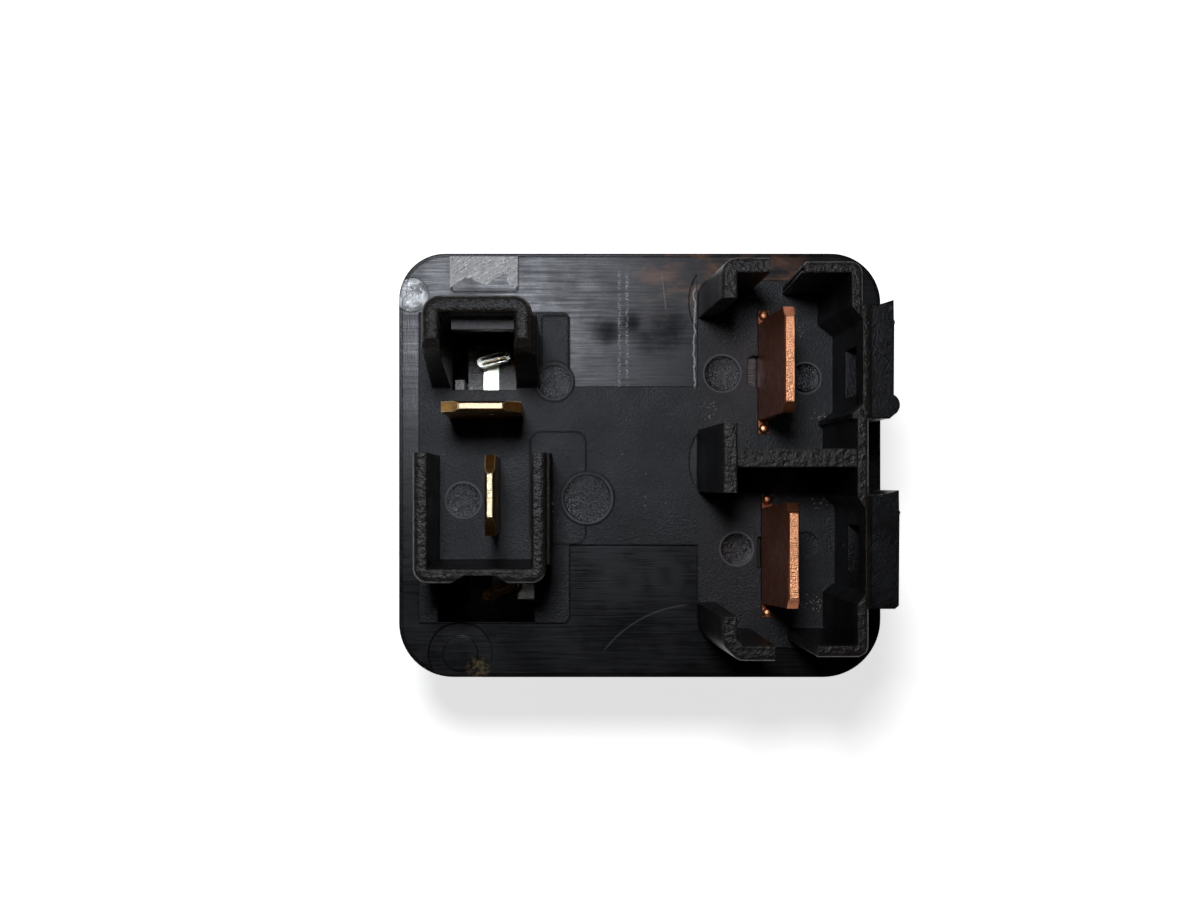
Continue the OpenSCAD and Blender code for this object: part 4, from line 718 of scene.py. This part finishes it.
# %% Torn skin on the plate
def skin_finish():
    f = Finish("torn_skin", Specular_IOR_Level=0.5)
    slant = f.noise(0.10, stretch=(16, 1, 1), turn=32, detail=3, rough=0.6, seed=2)
    blotch = f.noise(0.55, detail=4, rough=0.65, seed=5)
    # painted highlight: the pale tone and the bright slanting streaks stand for the lamp's light on the skin
    colour = f.tint(f.fade(blotch, 0.35, 0.65), (0.030, 0.030, 0.034, 1), (0.15, 0.15, 0.17, 1))
    colour = f.paint(colour, (0.42, 0.42, 0.46, 1), f.fade(slant, 0.52, 0.72, 0.0, 0.7))
    height = f.total((slant, 0.03), (blotch, 0.05))
    rough = f.fade(blotch, 0.3, 0.7, 0.28, 0.42)
    return f.wear(colour=colour, roughness=rough, normal=f.relief(height))


# the torn outline, from its corner at the plate's edge, along the tear and back
tear = [
    (-16.40, 18.02), (-16.40, 15.30), (-16.05, 15.52), (-15.68, 15.78), (-15.36, 15.95), (-15.09, 16.24),
    (-14.86, 16.12), (-14.60, 16.18), (-14.14, 15.84), (-13.72, 15.66), (-13.28, 15.54), (-12.93, 15.73),
    (-12.66, 15.94), (-12.41, 16.12), (-12.05, 16.30), (-11.75, 16.52), (-11.52, 16.62), (-11.36, 16.36),
    (-11.50, 16.05), (-11.34, 15.72), (-11.14, 15.44), (-10.96, 15.56), (-10.80, 15.36), (-10.56, 15.46),
    (-10.54, 18.02),
]
ragged_by = 0.02
skin_sunk = 0.02
skin_t, curled_by = 0.035, 0.015
random.seed(4)
shape = bmesh.new()
ring = [
    shape.verts.new((x * MM, (y - ragged_by * random.random()) * MM, (plate_z - skin_sunk) * MM))
    for x, y in tear
]
skin_face = shape.faces.new(ring)
top = bmesh.ops.extrude_face_region(shape, geom=[skin_face])
for v in [g for g in top["geom"] if isinstance(g, bmesh.types.BMVert)]:
    v.co.z = (plate_z + skin_t + curled_by * random.random()) * MM
bmesh.ops.triangulate(shape, faces=shape.faces[:])
bmesh.ops.recalc_face_normals(shape, faces=shape.faces[:])
skin_mesh = bpy.data.meshes.new("torn_skin")
shape.to_mesh(skin_mesh)
shape.free()
skin_mesh.materials.append(skin_finish())
torn_skin = bpy.data.objects.new("torn_skin", skin_mesh)
bpy.context.scene.collection.objects.link(torn_skin)
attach(torn_skin, "housing")
print("torn skin:", len(skin_mesh.polygons), "triangles")

# %% [markdown]
# What repeats is made with Geometry Nodes. One tree turns a line into round
# wire, for the turns of the winding and the strands of the braid. A second
# sets a crumb of plastic on each of a handful of points. Both are applied, so
# that each piece ends as a plain mesh.

# %% A tree that makes wire from a line
def new_tree(name, sockets):
    """An empty tree with a mesh going in, the named numbers, and a mesh coming out."""
    tree = bpy.data.node_groups.new(name, "GeometryNodeTree")
    tree.interface.new_socket("Geometry", in_out="INPUT", socket_type="NodeSocketGeometry")
    for label, kind in sockets:
        tree.interface.new_socket(label, in_out="INPUT", socket_type=kind)
    tree.interface.new_socket("Geometry", in_out="OUTPUT", socket_type="NodeSocketGeometry")
    return tree, tree.nodes.new("NodeGroupInput"), tree.nodes.new("NodeGroupOutput")


def wire_tree():
    """A line becomes a closed six-sided wire."""
    tree, start, end = new_tree("wire", [("Radius", "NodeSocketFloat"), ("Finish", "NodeSocketMaterial")])
    line = tree.nodes.new("GeometryNodeMeshToCurve")
    ring = tree.nodes.new("GeometryNodeCurvePrimitiveCircle")
    ring.inputs["Resolution"].default_value = 6
    tube = tree.nodes.new("GeometryNodeCurveToMesh")
    tube.inputs["Fill Caps"].default_value = True
    paint = tree.nodes.new("GeometryNodeSetMaterial")
    for a, b in (
        (start.outputs["Geometry"], line.inputs[0]), (start.outputs["Radius"], ring.inputs["Radius"]),
        (line.outputs[0], tube.inputs["Curve"]), (ring.outputs[0], tube.inputs["Profile Curve"]),
        (tube.outputs[0], paint.inputs[0]), (start.outputs["Finish"], paint.inputs["Material"]),
        (paint.outputs[0], end.inputs[0]),
    ):
        tree.links.new(a, b)
    return tree


def crumb_tree():
    """Each point becomes a rough crumb of its own size and turn."""
    names = [("Size", "NodeSocketFloat"), ("Seed", "NodeSocketInt"), ("Finish", "NodeSocketMaterial")]
    tree, start, end = new_tree("crumbs", names)
    ball = tree.nodes.new("GeometryNodeMeshIcoSphere")
    ball.inputs["Subdivisions"].default_value = 2
    place = tree.nodes.new("GeometryNodeInstanceOnPoints")
    size = tree.nodes.new("FunctionNodeRandomValue")
    size.data_type = "FLOAT_VECTOR"
    smallest, largest = (0.35, 0.5, 0.3), (1.3, 1.0, 0.6)
    size.inputs[0].default_value = smallest
    size.inputs[1].default_value = largest
    spin = tree.nodes.new("FunctionNodeRandomValue")
    spin.data_type = "FLOAT_VECTOR"
    furthest_turn = (0.4, 0.4, math.tau)
    spin.inputs[1].default_value = furthest_turn
    solid = tree.nodes.new("GeometryNodeRealizeInstances")
    bumps_per_metre = 9000.0
    rough = tree.nodes.new("ShaderNodeTexNoise")
    rough.inputs["Scale"].default_value = bumps_per_metre
    middle = tree.nodes.new("ShaderNodeVectorMath")
    middle.operation = "SUBTRACT"
    middle.inputs[1].default_value = (0.5, 0.5, 0.5)
    much = tree.nodes.new("ShaderNodeVectorMath")
    much.operation = "SCALE"
    move = tree.nodes.new("GeometryNodeSetPosition")
    paint = tree.nodes.new("GeometryNodeSetMaterial")
    for a, b in (
        (start.outputs["Geometry"], place.inputs["Points"]),
        (ball.outputs["Mesh"], place.inputs["Instance"]),
        (start.outputs["Size"], ball.inputs["Radius"]), (start.outputs["Seed"], size.inputs["Seed"]),
        (start.outputs["Seed"], spin.inputs["Seed"]), (size.outputs[0], place.inputs["Scale"]),
        (spin.outputs[0], place.inputs["Rotation"]), (place.outputs[0], solid.inputs[0]),
        (solid.outputs[0], move.inputs["Geometry"]), (rough.outputs["Color"], middle.inputs[0]),
        (middle.outputs[0], much.inputs[0]), (start.outputs["Size"], much.inputs["Scale"]),
        (much.outputs[0], move.inputs["Offset"]), (move.outputs[0], paint.inputs[0]),
        (start.outputs["Finish"], paint.inputs["Material"]), (paint.outputs[0], end.inputs[0]),
    ):
        tree.links.new(a, b)
    return tree


def grown(name, points, edges, tree, settings, body):
    """Runs a tree on points in millimetres and keeps its result as a plain mesh that rides on a body."""
    seed_mesh = bpy.data.meshes.new(name + "_line")
    seed_mesh.from_pydata([Vector(p) * MM for p in points], edges, [])
    maker = bpy.data.objects.new(name + "_maker", seed_mesh)
    bpy.context.scene.collection.objects.link(maker)
    modifier = maker.modifiers.new("tree", "NODES")
    modifier.node_group = tree
    for item in tree.interface.items_tree:
        if item.in_out == "INPUT" and item.name in settings:
            modifier[item.identifier] = settings[item.name]
    bpy.context.view_layer.update()
    ready = maker.evaluated_get(bpy.context.evaluated_depsgraph_get())
    mesh = bpy.data.meshes.new_from_object(ready)
    mesh.name = name
    bpy.data.objects.remove(maker)
    piece = bpy.data.objects.new(name, mesh)
    bpy.context.scene.collection.objects.link(piece)
    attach(piece, body)
    print(name + ":", sum(len(face.vertices) - 2 for face in mesh.polygons), "triangles")
    return piece


wire = wire_tree()
crumb = crumb_tree()
print("trees:", wire.name, len(wire.nodes), "nodes,", crumb.name, len(crumb.nodes), "nodes")

# %% [markdown]
# The coil is wound in close layers of varnished wire. The outer layer is one
# long helix that dips a little at both ends, as the CAD barrel does. A plain
# sleeve under it stands for the layers below.

# %% Winding
coil_box = [[v / MM for v in corner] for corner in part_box("coil_winding")]
coil_r = (coil_box[1][0] - coil_box[0][0]) / 2
coil_mid = ((coil_box[0][0] + coil_box[1][0]) / 2, (coil_box[0][2] + coil_box[1][2]) / 2)
coil_from, coil_to = coil_box[0][1], coil_box[1][1]
wire_r = 0.14
end_dip, dip_length = 0.3, 0.5
tube_r = 3.77
skin_gap = 0.01
turns = int((coil_to - coil_from - 2 * wire_r) / (2 * wire_r))
steps = 40
helix = []
for i in range(turns * steps + 1):
    share = i / (turns * steps)
    y = coil_from + wire_r + share * (coil_to - coil_from - 2 * wire_r)
    near_end = min(y - coil_from, coil_to - y)
    r = coil_r - wire_r - skin_gap - end_dip * max(0.0, 1 - near_end / dip_length)
    angle = math.tau * i / steps
    helix.append((coil_mid[0] + r * math.cos(angle), y, coil_mid[1] + r * math.sin(angle)))
links = [(i, i + 1) for i in range(len(helix) - 1)]
winding = grown(
    "winding_turns", helix, links, wire,
    {"Radius": wire_r * MM, "Finish": finishes["enamelled_wire"]}, "housing",
)
sleeve = bmesh.new()
sleeve.from_mesh(winding.data)
sleeve_r = coil_r - end_dip - wire_r
profile = [(tube_r, coil_from), (sleeve_r, coil_from), (sleeve_r, coil_to), (tube_r, coil_to)]
sides = 48
rings = []
for k in range(sides):
    across, up = math.cos(math.tau * k / sides), math.sin(math.tau * k / sides)
    rings.append([
        sleeve.verts.new(Vector((coil_mid[0] + r * across, y, coil_mid[1] + r * up)) * MM)
        for r, y in profile
    ])
walls = []
for k in range(sides):
    a, b = rings[k], rings[(k + 1) % sides]
    for j in range(4):
        after = (j + 1) % 4
        walls.append(sleeve.faces.new((a[j], a[after], b[after], b[j])))
bmesh.ops.recalc_face_normals(sleeve, faces=walls)
sleeve.to_mesh(winding.data)
sleeve.free()
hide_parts("coil_winding")
print("winding:", turns, "turns on a sleeve of", sides, "sides")

# %% [markdown]
# The braid carries the current to the moving spring, so it is many fine
# strands and not one rod. Ten strands wind round an eleventh, along the middle
# line of the CAD braid: a straight leg, a bend, and a second leg.

# %% Braid strands
braid_box = [[v / MM for v in corner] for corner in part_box("braid")]
braid_r = (braid_box[1][2] - braid_box[0][2]) / 2
braid_bend = 2.4
braid_z = (braid_box[1][2] + braid_box[0][2]) / 2
left, low_end = braid_box[0][0] + braid_r, braid_box[0][1]
corner_y = braid_box[1][1] - braid_r - braid_bend
legs = (corner_y - low_end, braid_bend * math.pi / 2, braid_box[1][0] - left - braid_bend)


def braid_point(d):
    """Place and sideways direction of the braid's middle line at a distance d from its end."""
    if d < legs[0]:
        return (left, low_end + d), (1.0, 0.0)
    if d < legs[0] + legs[1]:
        a = (d - legs[0]) / braid_bend
        x, y = left + braid_bend * (1 - math.cos(a)), corner_y + braid_bend * math.sin(a)
        return (x, y), (math.cos(a), -math.sin(a))
    return (left + braid_bend + d - legs[0] - legs[1], corner_y + braid_bend), (0.0, -1.0)


strand_r = 0.2
strand_gap = 0.02
strands = 11
twists = 1.6
cuts = 56
points, edges = [], []
for k in range(strands):
    lay = braid_r - strand_r - strand_gap if k else 0.0
    for i in range(cuts + 1):
        (x, y), (sx, sy) = braid_point(sum(legs) * i / cuts)
        angle = math.tau * (k / (strands - 1) + twists * i / cuts)
        out = lay * math.cos(angle)
        points.append((x + sx * out, y + sy * out, braid_z + lay * math.sin(angle)))
        if i:
            edges.append((len(points) - 2, len(points) - 1))
braid = grown(
    "braid_strands", points, edges, wire,
    {"Radius": strand_r * MM, "Finish": finishes["terminal_copper"]}, "housing",
)
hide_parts("braid")

# %% [markdown]
# Dust and moulding crumbs lie in the corners of the load cells and on the
# platform. They come in small clusters, and each cluster has its own middle
# and spread, so a fixed seed and a bell curve place them.

# %% Crumbs
crumb_r = 0.075
crumb_lift = 0.02
random.seed(11)
# middle x and y of each cluster, its width and depth, and how many crumbs it has
clusters = [
    (load_x + 5.0, -3.2, 0.9, 0.8, 16), (load_x + 4.2, -12.0, 1.3, 0.9, 26),
    (load_x + 1.6, -11.8, 2.2, 0.8, 24), (load_x + 5.0, 4.2, 0.9, 0.4, 12),
    (load_x - 1.2, -1.6, 2.0, 0.5, 14), (load_x - 4.6, 4.9, 0.5, 1.3, 14),
    (load_x - 3.0, 11.6, 1.2, 0.8, 10), (0.0, -3.0, 4.0, 4.5, 8),
    (coil_x + 4.9, -3.4, 0.4, 1.8, 10), (load_x + 2.2, 11.8, 1.6, 1.2, 14),
]
spots = []
for x, y, wide, deep, count in clusters:
    for _ in range(count):
        px, py = random.gauss(x, wide * 0.5), random.gauss(y, deep * 0.5)
        spots.append((px, py, pad_z + crumb_lift))
crumb_finish = plain_finish("crumb", (0.02, 0.018, 0.016), (0.17, 0.155, 0.14), 0.35, lump=0.3)
grown(
    "crumbs", spots, [], crumb,
    {"Size": crumb_r * MM, "Seed": 5, "Finish": crumb_finish}, "housing",
)

# %% [markdown]
# The box of the solids and the box of the dressed part are written side by side, because looks must not
# change the size.

# %% Sizes and finish
bpy.context.view_layer.update()
as_lists = lambda box: [[float(v) for v in corner] for corner in box]
{"cad": as_lists(cad_box), "visual": as_lists(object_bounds())}
